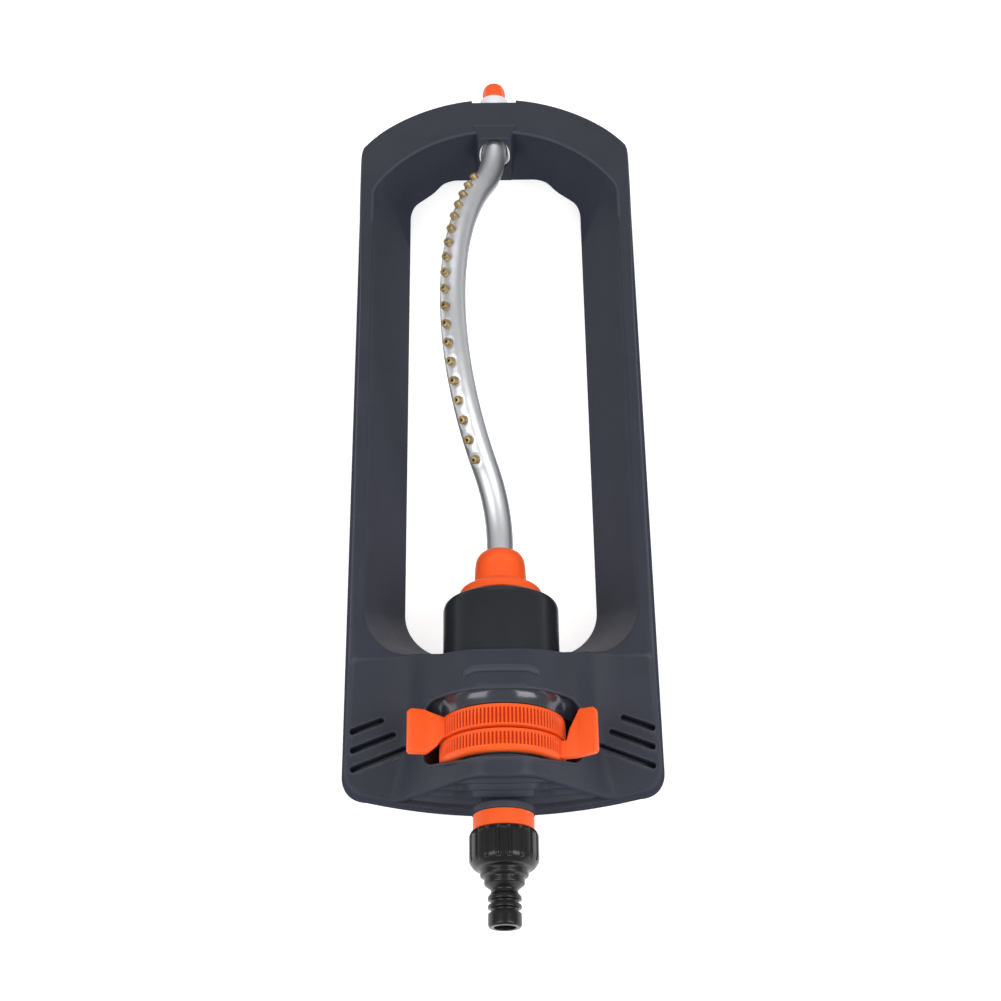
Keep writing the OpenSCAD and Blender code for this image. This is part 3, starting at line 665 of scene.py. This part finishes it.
def frame_grid():
    """All cross-sections round the frame, from the middle of the front and back to it."""
    outer, ridge, inner = frame_loops()
    normal = loop_normals(outer)
    wall = WALL_ROWS + 2
    half = []
    for i, o in enumerate(outer):
        side = step((o[0] - 66) / 13) if i < N_DECK else 1.0
        far = step((i - (N_DECK + N_NEAR + N_RAIL - 2)) / (N_FAR + 8.0))
        s = section(o, normal[i], ridge[i], inner[i], side, far)
        if i < N_DECK:
            s[:wall, 1] += panel_depth(s[:wall, 0], s[:wall, 2]) * step((60 - o[0]) / 4)
        half.append(s)
    half = np.array(half)
    half[[0, -1], :, 0] = 0
    mirrored = half[-2:0:-1] * [-1, 1, 1]
    return np.vstack([half, mirrored])


def grid_normals(g):
    """Outward normals of the frame's grid."""
    ds = np.roll(g, -1, axis=0) - np.roll(g, 1, axis=0)
    dt = np.gradient(g, axis=1)
    n = np.cross(ds, dt)
    n /= np.maximum(np.linalg.norm(n, axis=2)[:, :, None], 1e-9)
    on_top = WALL_ROWS + CREST_ROWS + TOP_ROWS // 2
    return -n if n[0, on_top, 2] < 0 else n


GRID = frame_grid()
NORMALS = grid_normals(GRID)


def build_frame():
    """The frame as one moulded skin, open underneath."""
    g, n = GRID, NORMALS
    inner = g - n * SKIN
    flat = n * [1, 1, 0]
    flat /= np.maximum(np.linalg.norm(flat, axis=2)[:, :, None], 1e-9)
    for row in [*range(6), g.shape[1] - 1]:
        inner[:, row] = g[:, row] - flat[:, row] * SKIN
    s, m = g.shape[:2]
    verts = np.vstack([g.reshape(-1, 3), inner.reshape(-1, 3)])
    faces = grid_faces(s, m, wrap_rows=True, wrap_cols=False)
    base = s * m
    faces += [tuple(base + i for i in f[::-1]) for f in faces[:]]
    for i in range(s):
        a, b = i * m, (i + 1) % s * m
        faces.append((a, b, base + b, base + a))
        faces.append((a + m - 1, base + a + m - 1, base + b + m - 1, b + m - 1))
    return make_piece("frame_shell", verts, faces)


def window_outline(grow=0.0, count=16):
    """Outline of the window round the range rings; its front edge sweeps forward in the middle."""
    cx, r = WIN_X - WIN_R, WIN_R + grow
    rear, front = WIN_Y1 - WIN_R, WIN_Y0 + WIN_SWEEP + WIN_R
    return np.vstack([arc(cx, rear, r, 0, 90, count), arc(-cx, rear, r, 90, 180, count),
                      arc(-cx, front, r, 180, 262, count),
                      [[-WIN_FLAT, WIN_Y0 - grow], [WIN_FLAT, WIN_Y0 - grow]],
                      arc(cx, front, r, 278, 360, count)])


def dense_outline(grow, count=220):
    o = window_outline(grow)
    return resample(np.vstack([o, o[:1]]), count + 1)[:-1]


SLOTS = [(58.5, 73.5, -170.7), (52.5, 73.6, -178.6), (47.0, 73.8, -186.6)]
SLOT_W, SLOT_SLANT = 2.8, 16.0
BARREL_R, BARREL_GAP = 28.75, 0.35
# The motor's tunnel, the inlet's hole, the bush's hole and the flat behind the arch.
TUNNEL_X, TUNNEL_Y0, TUNNEL_Y1 = 29.1, -152.0, -116.0
NECK_BORE, BUSH_HOLE = 9.2, 8.85
FLAT_X, FLAT_Y, PLATE_X, PLATE_Y = 12.7, 204.4, 14.0, 204.8
BELOW = -3.0


def slot_outline(x0, x1, y, grow=0.0):
    """Outline of a drain slot that ends at x1, y and slants towards x0."""
    r = SLOT_W / 2 + grow
    a = math.radians(SLOT_SLANT)
    ends = np.vstack([arc(x1 - x0, 0, r, -90, 90, 12), arc(0, 0, r, 90, 270, 12)])
    rot = np.array([[math.cos(a), -math.sin(a)], [math.sin(a), math.cos(a)]])
    pts = ends @ rot.T
    return np.column_stack([x1 - pts[:, 0], y + pts[:, 1]])


def build_cutters():
    """Everything that is cut out of the frame, except the bush's hole."""
    parts = [prism(window_outline(0.0, 10), 12, 90)]
    for slot in SLOTS:
        cutter = prism(slot_outline(*slot)[::-1], 4, 60)
        parts += [cutter, mirror_x(cutter)]
    ring = np.vstack([[[-TUNNEL_X, BELOW], [TUNNEL_X, BELOW]],
                      arc(0, AXIS_Z, BARREL_R + BARREL_GAP, 0, 180, 48)])
    k = len(ring)
    near, far = (np.column_stack([ring[:, 0], np.full(k, y), ring[:, 1]]) for y in (TUNNEL_Y0, TUNNEL_Y1))
    parts.append(loft([near, far]))
    parts.append(revolve([[0, -213], [NECK_BORE, -213], [NECK_BORE, -199], [0, -199]], 64))
    parts.append(box(-FLAT_X, FLAT_X, FLAT_Y, 216, BELOW, 60))
    return make_piece("cutters", *join(parts))


SLATS, SLAT_X, SLAT_DEEP = (51.0, 39.5, 28.5, 17.5), 50.5, 4.2
# The slats above SPLIT_Z bow out over the inlet's neck; the lowest one stops at it.
SPLIT_Z, SPLIT_X, OVER_NECK = 25.0, 6.0, 48.6


def slat_section(x, z, lift):
    """Section of a slat at x, raised and brought forward over the neck by lift."""
    wall = front_y(abs(x)) + FOOT_OUT
    up = lift * (1 - step((abs(x) - 13.0) / 9.0))
    y, h, back = wall - 0.28 * up, z + up, wall + SLAT_DEEP
    prof = [[y + 0.15, h - 1.3], [y + 0.15, h - 0.5], [y + 0.6, h + 0.3], [y + 3.4, h + 3.2],
            [back, h + 3.2], [back, h + 1.4], [y + 1.3, h - 1.6]]
    return [[x, p[0], p[1]] for p in prof]


def grille_slats():
    """Louvres across the front wall, each a bar along the bow that leans out at its lower edge."""
    parts = []
    for z in SLATS:
        half = min(SLAT_X, 16.0 + (EDGE_Z - 3.2 - z) / 1.45)
        over = z > SPLIT_Z
        lift = max(0.0, OVER_NECK + 0.25 * (z - 28.5) - z) if over else 0.0
        spans = [(-half, half)] if over else [(SPLIT_X, half), (-half, -SPLIT_X)]
        parts += [loft([slat_section(x, z, lift) for x in np.linspace(a, b, 40)]) for a, b in spans]
    return parts


def window_rim():
    """Rolled lip and deep wall of the window round the range rings."""
    o = dense_outline(0.25)
    lip = sweep(np.column_stack([o, deck_height(o[:, 0], o[:, 1]) - 0.72]), 0.9, closed=True)
    a, b = dense_outline(0.0), dense_outline(1.7)
    za = deck_height(a[:, 0], a[:, 1]) - 0.8
    zb = deck_height(b[:, 0], b[:, 1]) - 1.6
    # The wall reaches down to 22 mm at the window's ends and stays clear of the rings between them.
    clear = 28.4
    over_ring = np.abs(a[:, 0]) < clear
    low = 22 + (14 + np.sqrt(np.clip(clear ** 2 - a[:, 0] ** 2, 0, None))) * over_ring
    low = np.minimum(low, za - 1.0)
    rings = [np.column_stack([a, za]), np.column_stack([a, za * 0.5 + low * 0.5]), np.column_stack([a, low]),
             np.column_stack([b, low]), np.column_stack([b, np.maximum(zb, low + 0.5)])]
    return lip, (np.vstack(rings), grid_faces(len(rings), len(a), wrap_rows=True))


def slab(top, thick=1.2):
    """A closed sheet under a grid of points [row][column][x, y, z]."""
    g = np.asarray(top, float)
    rows, cols = g.shape[:2]
    low = g - [0, 0, thick]
    base = rows * cols
    faces = grid_faces(rows, cols, wrap_cols=False)
    faces += [tuple(base + i for i in f[::-1]) for f in faces[:]]
    edge = [(0, j) for j in range(cols)] + [(i, cols - 1) for i in range(1, rows)]
    edge += [(rows - 1, j) for j in range(cols - 2, -1, -1)] + [(i, 0) for i in range(rows - 2, 0, -1)]
    ids = [i * cols + j for i, j in edge]
    for a, b in zip(ids, ids[1:] + ids[:1]):
        faces.append((a, base + a, base + b, b))
    return np.vstack([g.reshape(-1, 3), low.reshape(-1, 3)]), faces


def window_skirt():
    """Glossy hollow from the rear edge of the window down to the rear ring."""
    over, reach, foot_y = 29.5, 28.5, -170.7
    grid = []
    for x in np.linspace(-37.0, 37.0, 90):
        ax = abs(x)
        inset = WIN_R - math.sqrt(max(0.0, WIN_R ** 2 - max(0.0, ax - WIN_X + WIN_R) ** 2))
        edge = WIN_Y1 - inset
        top = float(deck_height(np.array(x), np.array(edge)))
        low = AXIS_Z + math.sqrt(max(0.0, over ** 2 - min(ax, reach) ** 2)) - 1.2 * max(0.0, ax - reach)
        low = min(low, top - 0.8)
        corner = (edge - 0.5, low + 0.25 * (top - low) - 0.3)
        curve = np.array([(edge + 0.4, top - 0.5), corner, (foot_y, low)])
        grid.append([(x, *corner_point(*curve, t)) for t in np.linspace(0, 1, 16)])
    return slab(grid)


def ring_cradle(side):
    """Shelf beside the rings: flat under the window's end, then round below the rings."""
    line = rounded([[39.4, 29.5], [33.5, 28.0], [29.0, 22.5], [25.0, 17.2], [18.0, 11.2]], 2.5, 5)
    grid = [[(side * x, y, z) for x, z in line] for y in np.linspace(-198.0, -162.4, 12)]
    if side < 0:
        grid = grid[::-1]
    return slab(grid)


def slot_shade_backing(x0, x1, y):
    """Dark backing below a drain slot, standing in as painted shade for the dark hollow under the deck."""
    inner, outer = slot_outline(x0, x1, y, 0.3), slot_outline(x0, x1, y, 1.4)
    under = 1.2
    high_in = deck_height(inner[:, 0], inner[:, 1]) - under
    high_out = deck_height(outer[:, 0], outer[:, 1]) - under
    return loft([np.column_stack([outer, high_out - 7.5]), np.column_stack([outer, high_out]),
                 np.column_stack([inner, high_in]), np.column_stack([inner, high_in - 6.4])])


def bead(line, z, across, up, taper, thin):
    """A low bead along a line, thinned at both ends."""
    t = np.linspace(0, 1, len(line))
    swell = np.clip(np.minimum(t, 1 - t) * taper, thin, 1)
    return sweep(np.column_stack([line, z]), np.column_stack([across * swell, up * swell]))


def brow_bead():
    """Low raised line on the deck behind the window."""
    line = rounded([[-18.2, -158.6], [-16.8, -156.0], [-13.4, -154.4], [0, -154.1], [13.4, -154.4],
                    [16.8, -156.0], [18.2, -158.6]], 3.0, 5)
    line = resample(line, 90)
    return bead(line, deck_height(line[:, 0], line[:, 1]) - 0.35, 2.1, 1.5, 14, 0.15)


def ridge_bead():
    """Rolled bead on the inner ridge of the arch and down into the rails."""
    ridge = frame_loops()[1]
    keep = ridge[:, 1] > 96.0
    right = ridge[keep] + loop_normals(ridge)[keep] * 0.9
    line = resample(np.vstack([right, right[-2::-1] * [-1, 1]]), 240)
    return bead(line, np.full(len(line), RAIL_Z - 0.95), 1.25, 1.25, 9, 0.2)


def channel_ribs():
    """Thin webs inside the rails and arch, seen from below."""
    parts = []
    count = len(GRID)
    rails, arch = N_DECK + N_NEAR, N_DECK + N_NEAR + N_RAIL + N_FAR
    picks = [*range(rails + 2, rails + N_RAIL - 4, 7), arch + 6, arch + 20]
    for i in picks:
        for index in (i, count - i):
            sec = (GRID[index] - NORMALS[index] * (SKIN - 0.5))[4:-2]
            keep = sec[sec[:, 2] > 6.0][::3]
            along = (GRID[(index + 1) % count, 0] - GRID[index - 1, 0]) * [1, 1, 0]
            along *= 0.8 / np.linalg.norm(along)
            parts.append(loft([keep - along, keep + along]))
    return parts


def inlet_boss():
    """Neck and flange that the inlet spigot comes out of."""
    prof = rounded([[13.3, -216.8], [15.0, -216.8], [15.4, -213.4], [10.4, -212.0], [10.4, -203.0],
                    [9.1, -203.0], [9.1, -213.0], [13.3, -213.0]],
                   [0.3, 0.8, 0.9, 1.2, 0, 0, 0.2, 0.2], 4, closed=True)
    return revolve(prof, 96)


def far_boss():
    """Hood over the tube's bearing: wide on the arch, close round the bush at its slanted mouth."""
    sections = []
    for t in np.linspace(0, 1, 14):
        y, half, high, low = 187.6 - 14.4 * t, 12.5 - 2.9 * t, RAIL_Z + 0.6 - 0.3 * t, 22.0
        r = 0.4 + 3.2 * t
        corners = [[-half, low], [half, low], [half, high], [-half, high]]
        outline = rounded(corners, [0, 0, r, r], 9, closed=True)
        slant = 0.5 * t * (outline[:, 1] - AXIS_Z)
        sections.append(np.column_stack([outline[:, 0], y + slant, outline[:, 1]]))
    return make_piece("far_boss_hood", *loft(sections))


def far_hole(r):
    return make_piece("far_hole", *revolve([[0, 160], [r, 160], [r, 214], [0, 214]], 64))


shell = build_frame()
hood = far_boss()
far_plate = make_piece("far_flat", *box(-PLATE_X, PLATE_X, PLATE_Y - SKIN, PLATE_Y, 0.1, 43.6))
cut_away(shell, build_cutters())
cut_away(shell, far_hole(BUSH_HOLE))
cut_away(hood, far_hole(BUSH_HOLE))
cut_away(far_plate, far_hole(BUSH_HOLE - 0.05))

lip, well = window_rim()
beads = [lip, brow_bead(), ridge_bead(), inlet_boss()]
details = make_piece("frame_details", *join(beads + grille_slats() + channel_ribs()))
well_piece = make_piece("window_well", *join([well, window_skirt(), ring_cradle(1), ring_cradle(-1)]))
# Painted shade: dark backings under the drain slots stand in for the shade inside the hollow frame.
shade_backings = [slot_shade_backing(*s) for s in SLOTS]
backing_piece = make_piece("slot_painted_shade", *join(shade_backings + [mirror_x(g) for g in shade_backings]))
for o in (shell, hood, far_plate, details, well_piece, backing_piece):
    smooth(o, 32)
finish_piece(shell, "frame", "frame_plastic", ["base_frame"])
for o in (hood, far_plate, details):
    finish_piece(o, "frame", "frame_plastic")
finish_piece(well_piece, "frame", "frame_plastic", material=WELL_MATERIAL)
finish_piece(backing_piece, "frame", "frame_plastic")

# ---------------------------------------------------------------- range rings

RING_R, RING_BORE, RING_W = 30.5, 26.2, 10.8
RIBS, RIB_DEEP = 100, 1.0
TAB_ANGLE, TAB_T, TAB_CREASE = 68.0, 4.0, 38.0


def ring_body(y, front):
    """Ring with fine ribs; the front ring has a wide smooth bevel at its front."""
    rim, face, lip, lip_y = (2.6, 2.2, 0.9, 0.9) if front else (0.9, 1.1, 0.4, 0.25)
    y0, y1 = y + rim, y + RING_W - 1.7
    rows = [[RING_BORE, y + 0.3], [RING_BORE + 0.3, y], [RING_R - face, y],
            [RING_R - lip, y + lip_y], [RING_R - 0.15, y0 - 0.35],
            [RING_R, y0], [RING_R, y0 + 0.5], [RING_R, (y0 + y1) / 2], [RING_R, y1 - 0.5], [RING_R, y1],
            [RING_R - 0.02, y1 + 0.3], [RING_R, y + RING_W - 0.9], [RING_R - 0.3, y + RING_W - 0.3],
            [RING_R - 1.0, y + RING_W], [RING_BORE + 0.3, y + RING_W], [RING_BORE, y + RING_W - 0.3]]

    def ribbed(a, r, yy):
        if r < RING_R - 0.05 or not (y0 + 0.2 < yy < y1 - 0.2):
            return r
        phase = (a * RIBS / (2 * math.pi)) % 1.0
        return r - RIB_DEEP * 0.5 * (1 - math.cos(2 * math.pi * phase))

    return revolve(rows, RIBS * 8, ribbed)


def tab(outline, sign):
    """Finger tab: a rounded plate, drawn as [radius, y], cupped along a crease."""
    bm = bmesh.new()
    low = [bm.verts.new((r, y, -TAB_T / 2)) for r, y in outline]
    face = bm.faces.new(low)
    ext = bmesh.ops.extrude_face_region(bm, geom=[face])
    moved = [e for e in ext["geom"] if isinstance(e, bmesh.types.BMVert)]
    bmesh.ops.translate(bm, vec=(0, 0, TAB_T), verts=moved)
    bmesh.ops.recalc_face_normals(bm, faces=bm.faces)
    bmesh.ops.bevel(bm, geom=list(bm.edges), offset=0.9, segments=4, profile=0.5, affect="EDGES")
    near_crease = [TAB_CREASE - 0.9, TAB_CREASE, TAB_CREASE + 0.9]
    for r in (30.5, 32.5, 34.5, 36.0, *near_crease, 40.0, 42.5, 45.0, 47.0):
        geom = bm.verts[:] + bm.edges[:] + bm.faces[:]
        bmesh.ops.bisect_plane(bm, geom=geom, plane_co=(r, 0, 0), plane_no=(1, 0, 0))
    bm.verts.index_update()
    a = math.radians(TAB_ANGLE)
    out = []
    for v in bm.verts:
        r, y, t = v.co
        d = r - TAB_CREASE
        curl = 0.16 * (math.sqrt(d * d + 1.2) - 1.1) * (1.0 if d > 0 else 1.15)
        t += curl - 1.1
        x = r * math.sin(a) - t * math.cos(a)
        z = r * math.cos(a) + t * math.sin(a)
        out.append((sign * x, y, AXIS_Z + z))
    faces = [tuple(v.index for v in fc.verts) for fc in bm.faces]
    bm.free()
    return np.array(out), faces


REAR_RING_Y, FRONT_RING_Y = -182.0, -194.0
rear_tab = [[28.2, -172.6], [28.2, -181.4], [31.6, -183.0], [33.6, -186.4], [38, -190.2], [47.5, -191.4],
            [48.6, -190.4], [48.6, -170.4], [47, -169.2], [40, -168.7], [33, -171]]
front_tab = [[28.2, -184.4], [28.2, -193.0], [34, -193.0], [47.4, -192.4], [48.6, -191.2], [48.6, -171.3],
             [47.2, -169.7], [39.5, -169.3], [34.6, -178.8], [33, -184.4]]
for name, y, sign, outline, body, node, front in (
        ("ring_rear", REAR_RING_Y, -1, rear_tab, "rear_ring", "rear_range_ring", False),
        ("ring_front", FRONT_RING_Y, 1, front_tab, "front_ring", "front_range_ring", True)):
    ring = make_piece(name, *join([ring_body(y, front), tab(outline, sign)]), sharp=40)
    finish_piece(ring, body, "orange_plastic", [node])

# ---------------------------------------------------------------- spray tube and jets

LEAN = math.radians(34.0)
TUBE_R, BORE_R = 6.8, 5.6
BOW_RISE, BOW_HALF, BEND_R, BOW_Y = 41.2, 129.0, 67.0, 54.0
BOW_A = 2 * math.atan(BOW_RISE / BOW_HALF)
BOW_R = BOW_HALF / math.sin(BOW_A) - BEND_R
JETS, JET_PITCH, JET_FIRST = 19, 10.1, 91.5
JET_R, JET_TIP = 2.1, 9.2
TUBE_Y0, TUBE_Y1 = -99.0, 209.0
# The dimple that each jet sits in, and the low swell round it.
DIMPLE, DIMPLE_R, SWELL, SWELL_R, SWELL_W = 0.42, 2.9, 0.10, 4.0, 0.9


def lean_point(y, h, side=0.0):
    """A point at y, h up the leaning plane and side to its right."""
    s, c = math.sin(LEAN), math.cos(LEAN)
    return np.array([-s * h + c * side, y, AXIS_Z + c * h + s * side])


def on_bow(a):
    """Place of the bow's centre line where its slope angle is a, as y and height."""
    return BOW_Y - BOW_R * math.sin(a), BOW_RISE - BOW_R * (1 - math.cos(a))


def on_bend(a, end):
    """The same on the bend at one end of the bow, with the angle."""
    return BOW_Y + end * BOW_HALF + BEND_R * math.sin(a), BEND_R * (1 - math.cos(a)), a


def bow_line():
    """Centre line of the tube as [y, height, slope angle]."""
    rows = [(y, 0.0, 0.0) for y in np.linspace(TUBE_Y0, BOW_Y - BOW_HALF, 12)]
    rows += [on_bend(a, -1) for a in np.linspace(0, BOW_A, 26)[1:]]
    rows += [(*on_bow(a), a) for a in np.linspace(BOW_A, -BOW_A, 230)[1:]]
    rows += [on_bend(a, 1) for a in np.linspace(-BOW_A, 0, 26)[1:]]
    rows += [(y, 0.0, 0.0) for y in np.linspace(BOW_Y + BOW_HALF, TUBE_Y1, 8)[1:]]
    return rows


# Slope angle of the bow at each jet.
JET_ANGLES = [-(JET_FIRST - i * JET_PITCH) / BOW_R for i in range(JETS)]


def build_tube():
    """The bent tube, with a shallow dimple round each jet."""
    around = 56
    rows = bow_line()
    jets = [on_bow(a) for a in JET_ANGLES]
    verts = []
    for radius in (TUBE_R, BORE_R):
        for y, h, a in rows:
            for k in range(around):
                t = 2 * math.pi * k / around
                up, side = math.cos(t), math.sin(t)
                r = radius
                if radius == TUBE_R and abs(a) < BOW_A - 1e-6 and up > 0.2:
                    near = min(math.hypot(y - jy, h - jh) for jy, jh in jets)
                    round_tube = (t if t < math.pi else t - 2 * math.pi) * TUBE_R
                    d = math.hypot(near, round_tube)
                    r -= DIMPLE * math.exp(-(d / DIMPLE_R) ** 4)
                    r += SWELL * math.exp(-((d - SWELL_R) / SWELL_W) ** 2)
                verts.append(lean_point(y - math.sin(a) * up * r, h + math.cos(a) * up * r, side * r))
    n = len(rows)
    faces = grid_faces(n, around)
    base, end = n * around, (n - 1) * around
    faces += [tuple(base + i for i in fc[::-1]) for fc in faces[:]]
    for k in range(around):
        m = (k + 1) % around
        faces.append((k, base + k, base + m, m))
        faces.append((end + k, end + m, base + end + m, base + end + k))
    return make_piece("bow_tube", verts, faces)


def build_jets():
    """Brass jets: a stem with a shoulder, a chamfered tip and a hole down its middle."""
    foot, shoulder = BORE_R - 0.8, JET_R + 0.25
    prof = [[0.62, foot], [1.5, foot], [1.5, TUBE_R - 0.5], [shoulder, TUBE_R - 0.5],
            [shoulder, TUBE_R + 0.15], [JET_R, TUBE_R + 0.35], [JET_R, JET_TIP - 0.45],
            [JET_R - 0.1, JET_TIP - 0.2], [JET_R - 0.45, JET_TIP], [0.95, JET_TIP], [0.75, JET_TIP - 0.25],
            [0.62, JET_TIP - 0.8]]
    count = 28
    parts = []
    for a in JET_ANGLES:
        cy, ch = on_bow(a)
        verts = []
        for r, h in prof:
            for k in range(count):
                t = 2 * math.pi * k / count
                along, side = r * math.cos(t), r * math.sin(t)
                y = cy - math.sin(a) * h + math.cos(a) * along
                z = ch + math.cos(a) * h + math.sin(a) * along
                verts.append(lean_point(y, z, side))
        parts.append((verts, grid_faces(len(prof), count, wrap_rows=True)))
    return make_piece("brass_jets", *join(parts), sharp=30)


finish_piece(build_tube(), "spray_arm", "tube_aluminium", ["spray_tube"])
finish_piece(build_jets(), "spray_arm", "jet_brass", ["jets"])

# ---------------------------------------------------------------- collar, barrel and hose end

def build_collar():
    """Orange collar: a flange and a dome with a hollow above and below."""
    prof = [[7.0, -106.5], [20.6, -106.5], [20.9, -106.1], [20.9, -103.2], [19.4, -101.3], [14.8, -101.1],
            [13.2, -99.6], [12.8, -88.6], [12.2, -84.4], [10.4, -81.6], [8.2, -80.4], [6.95, -80.0],
            [6.95, -99.1], [7.0, -99.3]]
    radii = [0, 0.4, 0.4, 1.2, 1.2, 1.2, 1.4, 2.0, 2.0, 1.6, 1.0, 0.3, 0, 0]
    hollow_y, hollow_half, hollow_deep = -93.5, 5.6, 1.3

    def shape(a, r, y):
        if r < 11.5 or y < -103.0:
            return r
        hollow = math.exp(-((y - hollow_y) / hollow_half) ** 6) * abs(math.cos(a)) ** 5
        return r - hollow_deep * hollow

    prof = dense(rounded(prof, radii, 5, closed=True), 1.0, closed=True)
    return make_piece("tube_dome", *revolve(prof, 160, shape), sharp=40)


def build_barrel():
    """Outer skin of the water motor, with a softened rim."""
    prof = [[23.4, -194.3], [25.9, -194.3], [25.9, -170.2], [28.0, -170.2], [28.0, -168.4], [26.5, -168.4],
            [26.5, -149.5], [BARREL_R, -149.5], [BARREL_R, -112.3], [28.1, -110.4], [26.7, -109.5],
            [25.95, -109.5], [25.95, -113.5], [23.4, -113.5]]
    radii = [0, 0.5, 0.4, 0.4, 0.4, 0.2, 0.4, 0.3, 1.0, 0.6, 0.4, 0, 0, 0]
    return make_piece("motor_barrel", *revolve(rounded(prof, radii, 4, closed=True), 160), sharp=30)


def build_adaptor():
    """Hose adaptor: a fluted nut, a stepped neck and the quick plug with its two grooves."""
    tip, r, groove, bore = PLUG_TIP, 7.9, 6.6, 5.2
    prof = [[bore, tip], [r - 0.7, tip], [r, tip + 0.9], [r, tip + 6.4], [groove, tip + 6.8],
            [groove, tip + 8.3], [r, tip + 8.7], [r, tip + 10.3], [groove, tip + 10.7], [groove, tip + 12.1],
            [r, tip + 12.5], [r, tip + 14.1], [6.5, tip + 15.8], [6.3, tip + 17.4], [8.4, -250.4],
            [9.5, -249.6], [9.5, -246.6], [11.4, -245.8], [11.4, -243.0], [14.2, -242.2], [15.9, -239.8],
            [16.45, -238.2], [16.45, -227.0], [15.5, -224.9], [12.75, -224.9], [12.75, -240.9],
            [bore, -240.9]]
    radii = [0.3, 0.5, 0.5] + [0.35] * 8 + [0.5, 0.8, 1.4, 0.9, 0.6, 0.6, 0.7, 0.7, 1.0, 1.0, 0.8, 0.8,
                                            0.5, 0.2, 0, 0.2]
    flutes, flute_deep, flute_half = 18, 0.75, 0.20

    def shape(a, rad, y):
        if rad < 15.0 or y > -225.5:
            return rad
        off = abs((a * flutes / (2 * math.pi)) % 1.0 - 0.5) / flute_half
        return rad - flute_deep * math.sqrt(max(0.0, 1 - off ** 2)) * step((y + 240.2) / 1.6)

    prof = dense(rounded(prof, radii, 4, closed=True), 1.2, closed=True)
    return make_piece("hose_fitting", *revolve(prof, 360, shape), sharp=35)


def build_bush():
    """White bearing with a slanted mouth towards the bow."""
    prof = rounded([[6.85, 183.2], [6.85, 211.0], [8.1, 211.0], [8.75, 210.3], [8.75, 171.6], [7.95, 171.6]],
                   [0, 0.2, 0.4, 0.4, 0.2, 0.2], 4, closed=True)
    v, f = revolve(dense(prof, 2.0, closed=True), 96)
    near = np.clip((185.0 - v[:, 1]) / 13.4, 0, 1)
    v[:, 1] += near * np.clip(v[:, 2] - AXIS_Z - 0.5, 0, None) * 1.4
    return make_piece("bearing_bush", v, f, sharp=35)


def build_cap():
    """Orange end plug with a rounded nose."""
    prof = [[0, 190.2], [4.2, 190.2], [5.4, 191.4], [5.4, 198.6], [4.3, 198.6], [4.3, 200.4], [5.4, 200.4],
            [5.4, 209.2], [6.65, 209.2], [6.65, 217.6], [6.1, 221.0], [4.7, 222.6], [2.4, 223.0], [0, 223.0]]
    radii = [0, 0.6, 0.5, 0.1, 0, 0, 0.1, 0, 0.2, 1.4, 1.4, 1.0, 1.0, 0]
    grips, grip_y0, grip_y1, grip_deep = 6, 212.4, 222.0, 0.4

    def shape(a, rad, y):
        if y < grip_y0 or rad < 5.0:
            return rad
        wave = (0.5 + 0.5 * math.cos(grips * a)) ** 3
        return rad - grip_deep * wave * step((y - grip_y0) / 1.2) * step((grip_y1 - y) / 2.0)

    return make_piece("plug_cap", *revolve(dense(rounded(prof, radii, 4), 1.0), 144, shape), sharp=35)


finish_piece(build_collar(), "spray_arm", "orange_plastic", ["tube_collar"])
finish_piece(build_barrel(), "frame", "motor_plastic", ["motor_housing"])
finish_piece(build_adaptor(), "frame", "black_plastic", ["hose_adaptor"])
finish_piece(build_bush(), "frame", "white_plastic", ["far_bush"])
finish_piece(build_cap(), "end_plug", "orange_plastic", ["end_plug"])

# ---------------------------------------------------------------- studio

def build_floor():
    """White floor just under the part, with a faint glow."""
    half, count, drop = 3.0, 40, 0.0002
    t = np.linspace(-half, half, count)
    mesh = bpy.data.meshes.new("studio_floor")
    mesh.from_pydata([(x, y, -drop) for y in t for x in t], [], grid_faces(count, count, wrap_cols=False))
    obj = add_object("studio_floor", mesh)
    mat, tree, bsdf, where = new_material("floor_white")
    tone = noise(tree, where, 3.0, 2.0)
    tree.links.new(ramp(tree, tone, [(0.3, 0.90), (0.7, 0.92)]), bsdf.inputs["Base Color"])
    bsdf.inputs["Roughness"].default_value = 0.9
    bsdf.inputs["Specular IOR Level"].default_value = 0.0
    bsdf.inputs["Emission Color"].default_value = (1, 1, 1, 1)
    bsdf.inputs["Emission Strength"].default_value = 0.55
    mesh.materials.append(mat)


def area_light(name, place, size, power):
    """A rectangular light that looks at the middle of the part."""
    data = bpy.data.lights.new(name, "AREA")
    data.shape = "RECTANGLE"
    data.size, data.size_y = size
    data.energy = power
    obj = add_object(name, data)
    obj.location = place
    direction = Vector((0, 0, 0.03)) - Vector(place)
    obj.rotation_euler = direction.to_track_quat("-Z", "Y").to_euler()


def build_camera():
    """Camera above the hose end, looking down the length of the part."""
    lens, down, roll = 61.139, math.radians(63.03), math.radians(-0.8)
    place = (0.0006, (-448.0 + SHIFT) * MM, 0.8186)
    cam = bpy.data.cameras.new("photo_camera")
    cam.sensor_width = 36.0
    cam.lens = lens
    obj = add_object("photo_camera", cam)
    turn = Matrix.Rotation(math.pi / 2 - down, 4, "X") @ Matrix.Rotation(roll, 4, "Z")
    obj.matrix_world = Matrix.Translation(place) @ turn
    bpy.context.scene.camera = obj


def build_studio():
    build_floor()
    world = bpy.data.worlds.new("studio_world")
    world.use_nodes = True
    background = world.node_tree.nodes["Background"]
    background.inputs["Color"].default_value = (1, 1, 1, 1)
    background.inputs["Strength"].default_value = 0.42
    bpy.context.scene.world = world
    area_light("key_left", (-0.8, -0.45, 1.1), (0.6, 1.0), 8)
    area_light("key_right", (0.8, -0.45, 1.1), (0.6, 1.0), 10)
    area_light("back_top", (0.0, 1.2, 1.1), (1.2, 0.4), 3)
    bpy.context.scene.view_settings.view_transform = "Standard"
    build_camera()


build_studio()
